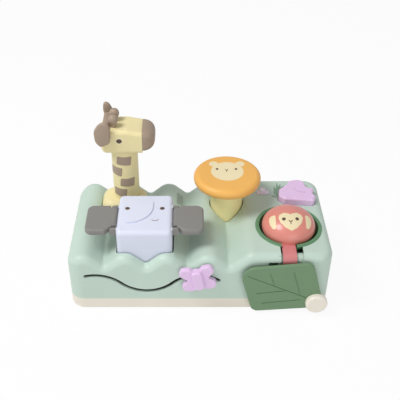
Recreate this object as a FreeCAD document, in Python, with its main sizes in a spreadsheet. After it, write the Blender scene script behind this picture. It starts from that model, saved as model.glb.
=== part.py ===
import FreeCAD, Part
import math
import os

import Sketcher
from FreeCAD import Placement, Rotation, Vector

doc = FreeCAD.newDocument("pop_up_animal_toy")
sheet = doc.addObject("Spreadsheet::Sheet", "Sizes")
aliases = []
nodes = {}


# A size keeps its number and its formula together, so that a piece can be drawn and tied to the sheet.
def formula_of(value):
    if isinstance(value, Measure):
        return value.formula
    return "(%r)" % float(value)


def worked_out(left, sign, right, number):
    return Measure(number, "(%s %s %s)" % (formula_of(left), sign, formula_of(right)))


class Measure(float):
    def __new__(cls, number, formula):
        item = float.__new__(cls, number)
        item.formula = formula
        return item

    def __add__(self, other):
        return worked_out(self, "+", other, float(self) + float(other))

    def __radd__(self, other):
        return worked_out(other, "+", self, float(other) + float(self))

    def __sub__(self, other):
        return worked_out(self, "-", other, float(self) - float(other))

    def __rsub__(self, other):
        return worked_out(other, "-", self, float(other) - float(self))

    def __mul__(self, other):
        return worked_out(self, "*", other, float(self) * float(other))

    def __rmul__(self, other):
        return worked_out(other, "*", self, float(other) * float(self))

    def __truediv__(self, other):
        return worked_out(self, "/", other, float(self) / float(other))

    def __rtruediv__(self, other):
        return worked_out(other, "/", self, float(other) / float(self))

    def __neg__(self):
        return worked_out(0, "-", self, -float(self))


def root(value):
    return Measure(math.sqrt(value), "sqrt(%s)" % formula_of(value))


def sine(degrees):
    return Measure(math.sin(math.radians(degrees)), "sin(%s)" % formula_of(degrees))


def cosine(degrees):
    return Measure(math.cos(math.radians(degrees)), "cos(%s)" % formula_of(degrees))


def size(alias, number):
    aliases.append(alias)
    row = len(aliases)
    sheet.set("A%d" % row, alias)
    sheet.set("B%d" % row, str(number))
    sheet.setAlias("B%d" % row, alias)
    return Measure(number, "Sizes." + alias)


# Housing sizes. The toy stands on Z = 0, centred on X and Y, with its front at the low Y side.
toy_width = size("toy_width", 300)
toy_depth = size("toy_depth", 150)
base_height = size("base_height", 15.5)
corner_radius = size("corner_radius", 17)
edge_radius = size("edge_radius", 9)
wall = size("wall", 2.6)

hill_pitch = size("hill_pitch", 47.3)
first_crest_inset = size("first_crest_inset", 18.25)
hill_apex_height = size("hill_apex_height", 81)
valley_height = size("valley_height", 60.8)
crest_radius = size("crest_radius", 16)
valley_radius = size("valley_radius", 4)
plateau_height = size("plateau_height", 80)
hill_count = 4

# Sizes of the wells
guide_bottom = size("guide_bottom", 42)
guide_wall = size("guide_wall", 2)
well_gap = size("well_gap", 1.4)
tab_reach = size("tab_reach", 3)
tab_height = size("tab_height", 2.4)
stop_gap = size("stop_gap", 0.3)
skin = size("skin", 2.4)
elephant_x = size("elephant_x", -61.9)
elephant_y = size("elephant_y", -27.5)
elephant_width = size("elephant_width", 62.4)
elephant_depth = size("elephant_depth", 71)
elephant_top = size("elephant_top", 104.5)
elephant_corner = size("elephant_corner", 6)
giraffe_x = size("giraffe_x", -90.5)
giraffe_y = size("giraffe_y", 38)
shoulder_width = size("shoulder_width", 55.6)
shoulder_depth = size("shoulder_depth", 42)
shoulder_top = size("shoulder_top", 83)
shoulder_corner = size("shoulder_corner", 15)
shoulder_round = size("shoulder_round", 10.8)
lion_x = size("lion_x", 33.8)
lion_y = size("lion_y", 29)
lion_radius = size("lion_radius", 19.4)
lion_travel = size("lion_travel", 25)
mane_radius = size("mane_radius", 40)
mane_bottom = size("mane_bottom", 107.5)
mane_thickness = size("mane_thickness", 13)
running_gap = size("running_gap", 0.05)
clear_gap = size("clear_gap", 0.3)

# Sizes of the base tray
floor = size("floor", 2.6)
lip_wall = size("lip_wall", 1.8)
lip_height = size("lip_height", 3)
tray_foot_radius = size("tray_foot_radius", 2.5)

# Sizes of the housing screws
post_side_x = size("post_side_x", 138)
post_back_y = size("post_back_y", 58)
post_front_y = size("post_front_y", -42)
post_middle_x = size("post_middle_x", -6)
post_middle_y = size("post_middle_y", -22)
post_middle_back_x = size("post_middle_back_x", 5)
post_middle_back_y = size("post_middle_back_y", 62)
post_radius = size("post_radius", 4.5)
screw_radius = size("screw_radius", 1.4)
screw_length = size("screw_length", 22)
screw_head_radius = size("screw_head_radius", 3)
screw_head_height = size("screw_head_height", 2)
screw_seat = size("screw_seat", 8)

# Sizes of the batteries
battery_x = size("battery_x", 103)
battery_y = size("battery_y", 0)
cell_radius = size("cell_radius", 7.2)
cell_length = size("cell_length", 50.5)
cell_pitch = size("cell_pitch", 15.2)
contact_depth = size("contact_depth", 3.2)
box_wall = size("box_wall", 1.8)
door_thickness = size("door_thickness", 1.8)
door_recess = size("door_recess", 0.2)
door_ledge = size("door_ledge", 3)
door_gap = size("door_gap", 0.3)
door_tail = size("door_tail", 9)
door_screw_radius = size("door_screw_radius", 1.3)
door_screw_length = size("door_screw_length", 8)
door_tongue = size("door_tongue", 2.4)
nub_radius = size("nub_radius", 2.7)
nub_length = size("nub_length", 1.5)
contact_plate = size("contact_plate", 0.6)
contact_width = size("contact_width", 12)

# Sizes of the spring posts of the base
spring_inner = size("spring_inner", 8.5)
spring_outer = size("spring_outer", 10)
spring_post_radius = size("spring_post_radius", 7.5)
spring_post_top = size("spring_post_top", 34)
lion_plate = size("lion_plate", 3)

# Sizes of the leaf pivot
leaf_pivot_x = size("leaf_pivot_x", 134)
leaf_pivot_z = size("leaf_pivot_z", 18)
leaf_pin_radius = size("leaf_pin_radius", 2.2)
leaf_thickness = size("leaf_thickness", 4)
leaf_standoff = size("leaf_standoff", 4)
leaf_boss_radius = size("leaf_boss_radius", 7)
leaf_boss_depth = size("leaf_boss_depth", 6)

# Sizes of the elephant
elephant_travel = size("elephant_travel", 16)
trunk_x = size("trunk_x", -83)
trunk_y = size("trunk_y", -17)
trunk_outer = size("trunk_outer", 30)
trunk_inner = size("trunk_inner", 11)
trunk_rise = size("trunk_rise", 1.5)
trunk_root = size("trunk_root", 9)
elephant_crown = size("elephant_crown", 5)
ear_thickness = size("ear_thickness", 8)
ear_z = size("ear_z", 98.4)
ear_front = size("ear_front", -56.5)
ear_back = size("ear_back", -10)
ear_reach = size("ear_reach", 35.6)
ear_gap = size("ear_gap", 0.4)
ear_corner = size("ear_corner", 8)
ear_edge = size("ear_edge", 2.5)
ear_chamfer = size("ear_chamfer", 9)
lug_length = size("lug_length", 4)
lug_inset = size("lug_inset", 1)
ear_pin_radius = size("ear_pin_radius", 1.5)

# Sizes of the giraffe
giraffe_travel = size("giraffe_travel", 28)
neck_x = size("neck_x", -88)
neck_y = size("neck_y", 40)
neck_radius = size("neck_radius", 15.6)
neck_top = size("neck_top", 152)
neck_bore = size("neck_bore", 12)

# Sizes of the neck inlays
inlay_depth = size("inlay_depth", 1)
inlay_rise = size("inlay_rise", 0.2)
patch_width = size("patch_width", 18)
patch_slant = size("patch_slant", 1.2)
head_back_x = size("head_back_x", -113.5)
muzzle_x = size("muzzle_x", -65.6)
head_front_x = size("head_front_x", -50.7)
head_height = size("head_height", 30)
head_width = size("head_width", 38)
head_drop = size("head_drop", 6)
head_lift = size("head_lift", 4)
head_round = size("head_round", 7)
nose_round = size("nose_round", 9)
head_skin = size("head_skin", 3)
patch_turns = [size("patch_1_turn", -90), size("patch_2_turn", -133),
               size("patch_3_turn", -78), size("patch_4_turn", -117)]
patch_heights = [size("patch_1_z", 139.5), size("patch_2_z", 124), size("patch_3_z", 109), size("patch_4_z", 94)]
patch_height = size("patch_height", 12)

# Sizes of the giraffe's crown
crown_band = size("crown_band", 4)
crown_band_width = size("crown_band_width", 11)
giraffe_ear_x = size("giraffe_ear_x", -110.5)
giraffe_ear_thickness = size("giraffe_ear_thickness", 5)
giraffe_ear_width = size("giraffe_ear_width", 18)
giraffe_ear_low = size("giraffe_ear_low", 163.5)
giraffe_ear_high = size("giraffe_ear_high", 194)
giraffe_ear_round = size("giraffe_ear_round", 3)
horn_x = size("horn_x", -99)
horn_spread = size("horn_spread", 15)
horn_radius = size("horn_radius", 3.6)
horn_ball = size("horn_ball", 5)
horn_height = size("horn_height", 13)
ear_tip_high = size("ear_tip_high", 195.5)

# Sizes of the lion
mane_round = size("mane_round", 6.3)
lion_skin = size("lion_skin", 2.4)
lion_axle_radius = size("lion_axle_radius", 2.5)
lion_axle_head = size("lion_axle_head", 5)
lion_axle_depth = size("lion_axle_depth", 7)
lion_face_radius = size("lion_face_radius", 19.4)
lion_face_back = size("lion_face_back", 3.5)
lion_ear_radius = size("lion_ear_radius", 5.5)
lion_ear_x = size("lion_ear_x", 16)
lion_ear_y = size("lion_ear_y", 15.5)
face_depth = size("face_depth", 1.2)

# Sizes of the monkey and its bowl
monkey_x = size("monkey_x", 104)
monkey_y = size("monkey_y", -21.8)
dome_radius = size("dome_radius", 31)
dome_half_height = size("dome_half_height", 20.5)
bowl_gap = size("bowl_gap", 3.4)
bowl_wall = size("bowl_wall", 2)
bowl_rim_reach = size("bowl_rim_reach", 2.1)
bowl_rim = size("bowl_rim", 1.2)
hinge_y = size("hinge_y", -65.6)
hinge_z = size("hinge_z", 68.6)
barrel_radius = size("barrel_radius", 6.5)
arm_thickness = size("arm_thickness", 2.2)
arm_x = size("arm_x", 100.8)
arm_width = size("arm_width", 15.6)
arm_reach = size("arm_reach", 22)
arm_wrap_start = size("arm_wrap_start", -30)
arm_wrap = size("arm_wrap", 240)
notch_low_x = size("notch_low_x", 90.5)
notch_high_x = size("notch_high_x", 116)
peek_low_x = size("peek_low_x", 77)
peek_low_z = size("peek_low_z", 42)
peek_high_z = size("peek_high_z", 71)
peek_depth = size("peek_depth", 19)
peek_wall = size("peek_wall", 2)
heart_width = size("heart_width", 28)
heart_height = size("heart_height", 24.7)
heart_rise = size("heart_rise", 0.25)
heart_depth = size("heart_depth", 1)
face_tilt = size("face_tilt", 16.7)
monkey_ear_x = size("monkey_ear_x", 17)
monkey_ear_width = size("monkey_ear_width", 7.3)
monkey_ear_height = size("monkey_ear_height", 19)

# Sizes of the butterfly and its wavy track
wave_middle_z = size("wave_middle_z", 39.6)
wave_rise = size("wave_rise", 11.7)
wave_length = size("wave_length", 116.8)
wave_crest_x = size("wave_crest_x", -1.8)
wave_low_x = size("wave_low_x", -129.3)
wave_high_x = size("wave_high_x", 21.8)
slot_width = size("slot_width", 4.4)
butterfly_pin_radius = size("butterfly_pin_radius", 1.8)
butterfly_collar_radius = size("butterfly_collar_radius", 4.5)
butterfly_collar = size("butterfly_collar", 1.6)
butterfly_tilt = size("butterfly_tilt", 11)
wing_thickness = size("wing_thickness", 5.5)
wing_round = size("wing_round", 5)
wing_edge = size("wing_edge", 1.6)
butterfly_bar_width = size("butterfly_bar_width", 12)
butterfly_bar_length = size("butterfly_bar_length", 26)
butterfly_bar_rise = size("butterfly_bar_rise", 3.2)
butterfly_washer_radius = size("butterfly_washer_radius", 5.2)
butterfly_washer = size("butterfly_washer", 1.6)

# Sizes of the leaf
leaf_round = size("leaf_round", 9)
leaf_tip_round = size("leaf_tip_round", 16)
leaf_edge = size("leaf_edge", 1)
vein_width = size("vein_width", 0.9)
vein_depth = size("vein_depth", 0.7)
leaf_knob_radius = size("leaf_knob_radius", 12.5)
leaf_knob_thickness = size("leaf_knob_thickness", 6)
leaf_knob_edge = size("leaf_knob_edge", 2.2)
leaf_washer_radius = size("leaf_washer_radius", 4.6)
leaf_washer_thickness = size("leaf_washer_thickness", 1.5)

# Sizes of the bird button, the power switch and the board below them
bird_x = size("bird_x", 119)
bird_y = size("bird_y", 39)
bird_rise = size("bird_rise", 8.5)
bird_round = size("bird_round", 3)
bird_edge = size("bird_edge", 2.6)
bird_gap = size("bird_gap", 0.6)
bird_tab = size("bird_tab", 2)
bird_tab_reach = size("bird_tab_reach", 1.8)
bird_travel = size("bird_travel", 4)
bird_stem_radius = size("bird_stem_radius", 4)
bird_spring_inner = size("bird_spring_inner", 5.4)
bird_spring_outer = size("bird_spring_outer", 6.4)
wing_line = size("wing_line", 12.1)
wing_line_x = size("wing_line_x", 9.5)
wing_line_y = size("wing_line_y", 6.5)
power_x = size("power_x", 79)
power_y = size("power_y", 43.5)
power_travel = size("power_travel", 4)
power_plate_length = size("power_plate_length", 15)
power_plate_width = size("power_plate_width", 7)
power_plate = size("power_plate", 1.4)
power_knob_length = size("power_knob_length", 8)
power_knob_rise = size("power_knob_rise", 5.5)
power_stem = size("power_stem", 3.6)
power_switch_height = size("power_switch_height", 6.4)
board_low_x = size("board_low_x", 67)
board_high_x = size("board_high_x", 132)
board_low_y = size("board_low_y", 22.5)
board_high_y = size("board_high_y", 63)
board_z = size("board_z", 56)
board_thickness = size("board_thickness", 1.6)
board_post_radius = size("board_post_radius", 3)
board_screw_radius = size("board_screw_radius", 1.1)
board_screw_length = size("board_screw_length", 7)
board_screw_head = size("board_screw_head", 2.2)
board_post_low_x = size("board_post_low_x", 71)
board_post_high_x = size("board_post_high_x", 91)
board_post_low_y = size("board_post_low_y", 26.5)
board_post_high_y = size("board_post_high_y", 59)
dome_switch_height = size("dome_switch_height", 4)

# Sizes of the speaker and its grille
speaker_x = size("speaker_x", -22.5)
speaker_y = size("speaker_y", 45)
speaker_radius = size("speaker_radius", 20)
speaker_z = size("speaker_z", 50)
speaker_rim = size("speaker_rim", 4)
speaker_magnet_radius = size("speaker_magnet_radius", 11)
speaker_magnet = size("speaker_magnet", 7)
speaker_ledge = size("speaker_ledge", 2.5)
grille_low_x = size("grille_low_x", -27)
grille_high_x = size("grille_high_x", -19)
grille_first_y = size("grille_first_y", 34.3)
grille_pitch = size("grille_pitch", 2.9)
grille_slit = size("grille_slit", 1.5)
grille_count = 8


# Ties of properties to the sheet
def tie(item, **values):
    for name, value in values.items():
        setattr(item, name, float(value))
        if isinstance(value, Measure):
            item.setExpression(name, value.formula)


def put_at(item, x, y, z, rotation=Rotation()):
    item.Placement = Placement(Vector(float(x), float(y), float(z)), rotation)
    for letter, value in (("x", x), ("y", y), ("z", z)):
        if isinstance(value, Measure):
            item.setExpression("Placement.Base." + letter, value.formula)


# Solids from primitives, each between a low and a high value along every axis
def block(name, x, y, z):
    item = doc.addObject("Part::Box", name)
    tie(item, Length=x[1] - x[0], Width=y[1] - y[0], Height=z[1] - z[0])
    put_at(item, x[0], y[0], z[0])
    return item


TURNS = {
    "x": Rotation(Vector(0, 1, 0), 90),
    "y": Rotation(Vector(1, 0, 0), -90),
    "z": Rotation(),
}


def rod(name, axis, x, y, z, radius, length):
    item = doc.addObject("Part::Cylinder", name)
    tie(item, Radius=radius, Height=length)
    put_at(item, x, y, z, TURNS[axis])
    return item


def cut(name, base, *tools):
    item = doc.addObject("Part::Cut", name)
    item.Base = base
    item.Tool = tools[0] if len(tools) == 1 else join(name + "_tools", *tools)
    return item


def join(name, *shapes):
    item = doc.addObject("Part::MultiFuse", name)
    item.Shapes = list(shapes)
    return item


def overlap(name, *shapes):
    item = doc.addObject("Part::MultiCommon", name)
    item.Shapes = list(shapes)
    return item


# Bodies built from constrained sketches
def plane_of(body, role):
    for feature in body.Origin.OriginFeatures:
        if feature.Role == role:
            return feature
    raise RuntimeError("no plane " + role)


def outline(body, role, points, offset=0):
    sketch = body.newObject("Sketcher::SketchObject", body.Name + "_outline")
    sketch.AttachmentSupport = [(plane_of(body, role), "")]
    sketch.MapMode = "FlatFace"
    sketch.AttachmentOffset = Placement(Vector(0, 0, float(offset)), Rotation())
    if isinstance(offset, Measure):
        sketch.setExpression("AttachmentOffset.Base.z", offset.formula)
    count = len(points)
    for index in range(count):
        start = Vector(float(points[index][0]), float(points[index][1]), 0)
        end_point = points[(index + 1) % count]
        end = Vector(float(end_point[0]), float(end_point[1]), 0)
        sketch.addGeometry(Part.LineSegment(start, end), False)
    for index in range(count):
        sketch.addConstraint(Sketcher.Constraint("Coincident", index, 2, (index + 1) % count, 1))
    for index, point in enumerate(points):
        for kind, value in (("DistanceX", point[0]), ("DistanceY", point[1])):
            number = sketch.addConstraint(Sketcher.Constraint(kind, -1, 1, index, 1, float(value)))
            if isinstance(value, Measure):
                sketch.setExpression("Constraints[%d]" % number, value.formula)
    return sketch


def pad(body, sketch, length, symmetric=False, reverse=False):
    item = body.newObject("PartDesign::Pad", body.Name + "_pad")
    item.Profile = sketch
    tie(item, Length=length)
    item.SideType = "Symmetric" if symmetric else "One side"
    item.Reversed = reverse
    return item


def round_off(body, radius, chosen):
    doc.recompute()
    base = body.Tip
    names = ["Edge%d" % (index + 1) for index, edge in enumerate(base.Shape.Edges) if chosen(edge)]
    if not names:
        raise RuntimeError("no edges to round on " + body.Name)
    item = body.newObject("PartDesign::Fillet", body.Name + "_fillet")
    item.Base = (base, names)
    tie(item, Radius=radius)
    body.Tip = item
    doc.recompute()
    return item


def along(edge, axis):
    box = edge.BoundBox
    spans = {"x": box.XLength, "y": box.YLength, "z": box.ZLength}
    return all(spans[other] < 0.01 for other in "xyz" if other != axis) and spans[axis] > 0.01


def close(a, b, slack=0.05):
    return abs(float(a) - float(b)) < slack


# The housing's form: four hills and a plateau drawn in X and Z, run from front to back and rounded.
# The same form, set in by the wall, is the room inside it.
first_crest_x = first_crest_inset - toy_width / 2
hill_slope = (hill_apex_height - valley_height) / (hill_pitch / 2)
slope_length = root(1 + hill_slope * hill_slope)


def housing_form(name, inset):
    lift = inset * slope_length
    apex = hill_apex_height - lift
    valley = valley_height - lift
    top = plateau_height - inset
    left = inset - toy_width / 2
    right = toy_width / 2 - inset
    points = [(left, base_height), (right, base_height), (right, top)]
    last_valley_x = first_crest_x + hill_pitch * (hill_count - 0.5)
    points.append((last_valley_x + (top - valley) / hill_slope, top))
    for number in reversed(range(hill_count)):
        crest_x = first_crest_x + hill_pitch * number
        points.append((crest_x + hill_pitch / 2, valley))
        points.append((crest_x, apex))
    points.append((left, apex - hill_slope * (first_crest_x - left)))

    body = doc.addObject("PartDesign::Body", name)
    pad(body, outline(body, "XZ_Plane", points), toy_depth - inset * 2, symmetric=True)
    crests = [float(first_crest_x + hill_pitch * number) for number in range(hill_count)]
    crests.append(float(points[3][0]))
    valleys = [float(first_crest_x + hill_pitch * (number + 0.5)) for number in range(hill_count)]

    def at_line(edge, places):
        return along(edge, "y") and any(close(edge.CenterOfMass.x, place) for place in places)

    round_off(body, crest_radius - inset, lambda edge: at_line(edge, crests))
    round_off(body, valley_radius + inset, lambda edge: at_line(edge, valleys))
    round_off(body, corner_radius - inset, lambda edge: along(edge, "z"))

    def at_rim(edge):
        box = edge.BoundBox
        low = box.ZMin > float(base_height) + 1
        at_face = box.YLength < 0.01 and close(abs(box.YMin), toy_depth / 2 - inset)
        at_side = box.XLength < 0.01 and close(abs(box.XMin), toy_width / 2 - inset)
        return low and (at_face or at_side)

    round_off(body, edge_radius - inset, at_rim)
    return body



# A flat slab with the housing's plan, set in from its sides
def slab_form(name, inset, low, high):
    left = inset - toy_width / 2
    right = toy_width / 2 - inset
    front = inset - toy_depth / 2
    back = toy_depth / 2 - inset
    body = doc.addObject("PartDesign::Body", name)
    corners = [(left, front), (right, front), (right, back), (left, back)]
    pad(body, outline(body, "XY_Plane", corners, low), high - low)
    round_off(body, corner_radius - inset, lambda edge: along(edge, "z"))
    return body


def soften(name, base, radius, chosen):
    doc.recompute()
    edges = [(index + 1, float(radius), float(radius))
             for index, edge in enumerate(base.Shape.Edges) if chosen(edge)]
    if not edges:
        raise RuntimeError("no edges to soften on " + name)
    item = doc.addObject("Part::Fillet", name)
    item.Base = base
    item.Edges = edges
    return item


def is_round(edge):
    return hasattr(edge.Curve, "Radius")


def level(edge, height):
    box = edge.BoundBox
    return box.ZLength < 0.01 and close(box.ZMin, height)


def span(centre, length):
    return centre - length / 2, centre + length / 2


# Drawn outlines that are grown by a gap, for the holes that they pass through
def grown(points, gap):
    count = len(points)
    result = []
    for index in range(count):
        before = Vector(float(points[index - 1][0]), float(points[index - 1][1]), 0)
        here = Vector(float(points[index][0]), float(points[index][1]), 0)
        after = Vector(float(points[(index + 1) % count][0]), float(points[(index + 1) % count][1]), 0)
        way_in = (here - before).normalize()
        way_out = (after - here).normalize()
        out_in = Vector(way_in.y, -way_in.x, 0)
        out_out = Vector(way_out.y, -way_out.x, 0)
        spread = 1 + out_in.dot(out_out)
        move = (out_in + out_out) * (float(gap) / spread)
        result.append((here.x + move.x, here.y + move.y))
    return result


def rounded_prism(name, role, points, low, length, corner, reverse=False):
    body = doc.addObject("PartDesign::Body", name)
    pad(body, outline(body, role, points, low), length, reverse=reverse)
    axis = {"XY_Plane": "z", "XZ_Plane": "y", "YZ_Plane": "x"}[role]
    round_off(body, corner, lambda edge: along(edge, axis))
    return body


def keep(item, label):
    item.Label = label
    nodes[label] = item
    return item


outer_form = housing_form("outer_form", toy_width * 0)
inner_form = housing_form("inner_form", wall)

# Wells: each animal is a plunger in a guide, held down by tabs under the guide's lower end
plunger_bottom = guide_bottom - stop_gap - tab_height
above_all = toy_width


# Base tray: a floor, a side wall and an inner lip that the shell slides over
tray = slab_form("tray_form", toy_width * 0, toy_width * 0, base_height)
lip_line = wall + clear_gap
lip_form = slab_form("lip_form", lip_line, floor / 2, base_height + lip_height)
tray_room = slab_form("tray_room", lip_line + lip_wall, floor, above_all)
tray_soft = soften("tray_soft", tray, tray_foot_radius, lambda edge: level(edge, 0))

# Housing screws: six self-tapping screws from below, through base posts into posts of the shell
post_places = [
    (-post_side_x, -post_back_y),
    (-post_side_x, post_back_y),
    (post_side_x, post_front_y),
    (post_side_x, post_back_y),
    (post_middle_x, post_middle_y),
    (post_middle_back_x, post_middle_back_y),
]


def screw(name, x, y, seat, shank, length, head, head_height):
    stem = rod(name + "_shank", "z", x, y, seat, shank, length)
    cap = rod(name + "_head", "z", x, y, seat - head_height, head, head_height)
    return join(name, stem, cap)


base_posts = []
shell_posts = []
post_bores = []
post_pilots = []
housing_screws = []
for number, (x, y) in enumerate(post_places):
    base_posts.append(rod("base_post_%d" % number, "z", x, y, floor / 2, post_radius, base_height - floor / 2))
    shell_posts.append(rod("shell_post_%d" % number, "z", x, y, base_height, post_radius, plateau_height))
    post_bores.append(rod("post_bore_%d" % number, "z", x, y, 0, screw_radius + clear_gap, base_height))
    post_bores.append(rod("screw_well_%d" % number, "z", x, y, -wall, screw_head_radius + clear_gap,
                          screw_seat + wall))
    post_pilots.append(rod("post_pilot_%d" % number, "z", x, y, base_height - wall, screw_radius,
                           screw_seat + screw_length - base_height + wall + clear_gap))
    housing_screws.append(screw("housing_screw_%d" % number, x, y, screw_seat, screw_radius, screw_length,
                                screw_head_radius, screw_head_height))
keep(join("housing_screw_set", *housing_screws), "housing_screws")

# Batteries: three cells side by side in a box that opens at the underside, behind a screwed door
cell_count = 3

door_top = door_recess + door_thickness
cell_z = door_top + clear_gap + cell_radius
room_x = span(battery_x, cell_pitch * cell_count + clear_gap)
room_y = span(battery_y, cell_length + contact_depth * 2)
room_top = cell_z + cell_radius + clear_gap
door_x = (room_x[0] - door_ledge, room_x[1] + door_ledge)
door_y = (room_y[0] - door_ledge, room_y[1] + door_ledge + door_tail)
door_screw_y = room_y[1] + door_ledge + door_tail / 2
battery_case = block("battery_case", (room_x[0] - box_wall, room_x[1] + box_wall),
                     (room_y[0] - box_wall, room_y[1] + box_wall), (floor / 2, room_top + box_wall))
door_frame = block("door_frame", (door_x[0] - box_wall, door_x[1] + box_wall),
                   (door_y[0] - door_ledge, door_y[1] + box_wall), (floor / 2, door_top + box_wall))
battery_room = block("battery_room", room_x, room_y, (-wall, room_top))
door_hole = block("door_hole", (door_x[0] - door_gap, door_x[1] + door_gap),
                  (door_y[0] - door_gap, door_y[1] + door_gap), (-wall, door_top))
door_post = rod("door_post", "z", battery_x, door_screw_y, door_top, post_radius, door_screw_length + box_wall)
door_pilot = rod("door_pilot", "z", battery_x, door_screw_y, door_top, door_screw_radius, door_screw_length)
tongue_z = (door_top - door_thickness / 2, door_top)
tongue_x = span(battery_x, cell_pitch * 2)
tongue_slot = block("tongue_slot", (tongue_x[0] - door_gap, tongue_x[1] + door_gap),
                    (door_y[0] - door_tongue - door_gap, door_y[0]), (tongue_z[0] - door_gap, door_top))
door_plate = block("door_plate", door_x, door_y, (door_recess, door_top))
door_tab = block("door_tab", tongue_x, (door_y[0] - door_tongue, door_y[0] + box_wall), tongue_z)
door_bore = rod("door_bore", "z", battery_x, door_screw_y, -wall, door_screw_radius + door_gap,
                door_top + wall)
door_head_well = rod("door_head_well", "z", battery_x, door_screw_y, -wall,
                     screw_head_radius + door_gap, door_recess + door_thickness / 2 + wall)
keep(cut("door_body", join("door_blank", door_plate, door_tab), door_bore, door_head_well), "battery_door")
door_screw_seat = door_recess + door_thickness / 2
door_screw = screw("door_screw", battery_x, door_screw_y, door_screw_seat, door_screw_radius,
                   door_screw_length, screw_head_radius, door_thickness / 2)
keep(door_screw, "battery_door_screw")

cells = []
contacts = []
for number in range(cell_count):
    x = battery_x + cell_pitch * (number - (cell_count - 1) / 2)
    facing = 1 if number % 2 else -1
    can_y = span(battery_y - nub_length / 2 * facing, cell_length - nub_length)
    can = rod("cell_can_%d" % number, "y", x, can_y[0], cell_z, cell_radius, cell_length - nub_length)
    nub_start = can_y[1] if facing > 0 else can_y[0] - nub_length
    nub = rod("cell_nub_%d" % number, "y", x, nub_start, cell_z, nub_radius, nub_length)
    cells.append(join("cell_%d" % number, can, nub))
    for side in (-1, 1):
        end = room_y[1] if side > 0 else room_y[0]
        plate_y = (end - contact_plate, end) if side > 0 else (end, end + contact_plate)
        plate = block("contact_plate_%d_%s" % (number, "back" if side > 0 else "front"),
                      span(x, contact_width), plate_y, span(cell_z, contact_width))
        bump_start = end - contact_depth if side > 0 else end
        bump = rod("contact_bump_%d_%s" % (number, "back" if side > 0 else "front"), "y",
                   x, bump_start, cell_z, nub_radius, contact_depth)
        contacts.append(join("contact_%d_%s" % (number, "back" if side > 0 else "front"), plate, bump))
keep(join("cell_set", *cells), "batteries")
keep(join("contact_set", *contacts), "battery_contacts")

# Spring posts of the base, one under each plunger, with a coil spring round each


def spring(label, x, y, inner, outer, low, high):
    solid = rod(label + "_outer", "z", x, y, low, outer, high - low)
    core = rod(label + "_core", "z", x, y, low, inner, high - low)
    return keep(cut(label + "_coil", solid, core), label)


spring_places = [("giraffe", giraffe_x, giraffe_y), ("elephant", elephant_x, elephant_y),
                 ("lion", lion_x, lion_y)]
spring_posts = [rod(name + "_spring_post", "z", x, y, floor / 2, spring_post_radius,
                    spring_post_top - floor / 2) for name, x, y in spring_places]
lion_top = mane_bottom - clear_gap
spring("giraffe_spring", giraffe_x, giraffe_y, spring_inner, spring_outer, floor, shoulder_top - skin)
spring("elephant_spring", elephant_x, elephant_y, spring_inner, spring_outer, floor, elephant_top - skin)
spring("lion_spring", lion_x, lion_y, spring_inner, spring_outer, floor, lion_top - lion_plate)

# Leaf pivot: the leaf turns on a pin through the front wall, near the right foot of the shell
front = -toy_depth / 2
leaf_boss_out = rod("leaf_boss_out", "y", leaf_pivot_x, front - leaf_standoff + clear_gap, leaf_pivot_z,
                    leaf_boss_radius, leaf_standoff - clear_gap)
leaf_boss_in_whole = rod("leaf_boss_in_whole", "y", leaf_pivot_x, front, leaf_pivot_z, leaf_boss_radius,
                         leaf_boss_depth)
above_seam = block("above_seam", (-toy_width, toy_width), (-toy_depth, toy_depth), (base_height, above_all))
leaf_boss_in = overlap("leaf_boss_in", leaf_boss_in_whole, above_seam)
leaf_bore = rod("leaf_bore", "y", leaf_pivot_x, front - leaf_standoff * 2, leaf_pivot_z,
                leaf_pin_radius + running_gap, leaf_standoff * 2 + leaf_boss_depth * 2)
lip_gate = block("lip_gate", span(leaf_pivot_x, leaf_boss_radius * 2 + wall), (front + wall, front + post_radius * 4),
                 (floor * 2, above_all))

base_body = join("base_blank", tray_soft, lip_form)
base_room = cut("base_room", base_body, tray_room)
base_filled = join("base_filled", base_room, battery_case, door_frame, door_post, *(base_posts + spring_posts))
keep(cut("base_body", base_filled, battery_room, door_hole, tongue_slot, door_pilot, lip_gate, *post_bores), "base")

# Elephant: a hollow lavender block with a raised trunk on top, two lugs for each ear and its pins


def plunger_form(name, x, y, width, depth, top, corner, crown, inset=0):
    sides = span(x, width - inset * 2)
    ends = span(y, depth - inset * 2)
    roof = top - inset
    body = doc.addObject("PartDesign::Body", name)
    corners = [(sides[0], ends[0]), (sides[1], ends[0]), (sides[1], ends[1]), (sides[0], ends[1])]
    pad(body, outline(body, "XY_Plane", corners, plunger_bottom - inset), roof - plunger_bottom + inset)
    round_off(body, corner - inset, lambda edge: along(edge, "z"))
    round_off(body, crown - inset, lambda edge: level(edge, roof))
    return body


def stop_tabs(name, x, y, width, depth):
    sides = span(x, width)
    tabs = []
    for side, place in (("left", (sides[0] - tab_reach, sides[0] + skin)),
                        ("right", (sides[1] - skin, sides[1] + tab_reach))):
        tabs.append(block("%s_tab_%s" % (name, side), place, span(y, depth / 2),
                          (plunger_bottom, plunger_bottom + tab_height)))
    return tabs


elephant_form = plunger_form("elephant_form", elephant_x, elephant_y, elephant_width, elephant_depth,
                             elephant_top, elephant_corner, elephant_crown)
elephant_room = plunger_form("elephant_room", elephant_x, elephant_y, elephant_width, elephant_depth,
                             elephant_top, elephant_corner, elephant_crown, skin)
trunk_z = (elephant_top - skin / 2, elephant_top + trunk_rise)
trunk_disc = rod("trunk_disc", "z", trunk_x, trunk_y, trunk_z[0], trunk_outer, trunk_z[1] - trunk_z[0])
trunk_core = rod("trunk_core", "z", trunk_x, trunk_y, trunk_z[0] - wall, trunk_inner, wall * 4)
trunk_quarter = block("trunk_quarter", (trunk_x, trunk_x + trunk_outer * 2), (trunk_y - trunk_outer * 2, trunk_y),
                      (trunk_z[0] - wall, trunk_z[1] + wall))
trunk_curl = overlap("trunk_curl", cut("trunk_ring", trunk_disc, trunk_core), trunk_quarter)
trunk_stem = block("trunk_stem", (trunk_x + trunk_inner, trunk_x + trunk_outer), (trunk_y, trunk_y + trunk_root),
                   trunk_z)

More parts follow.
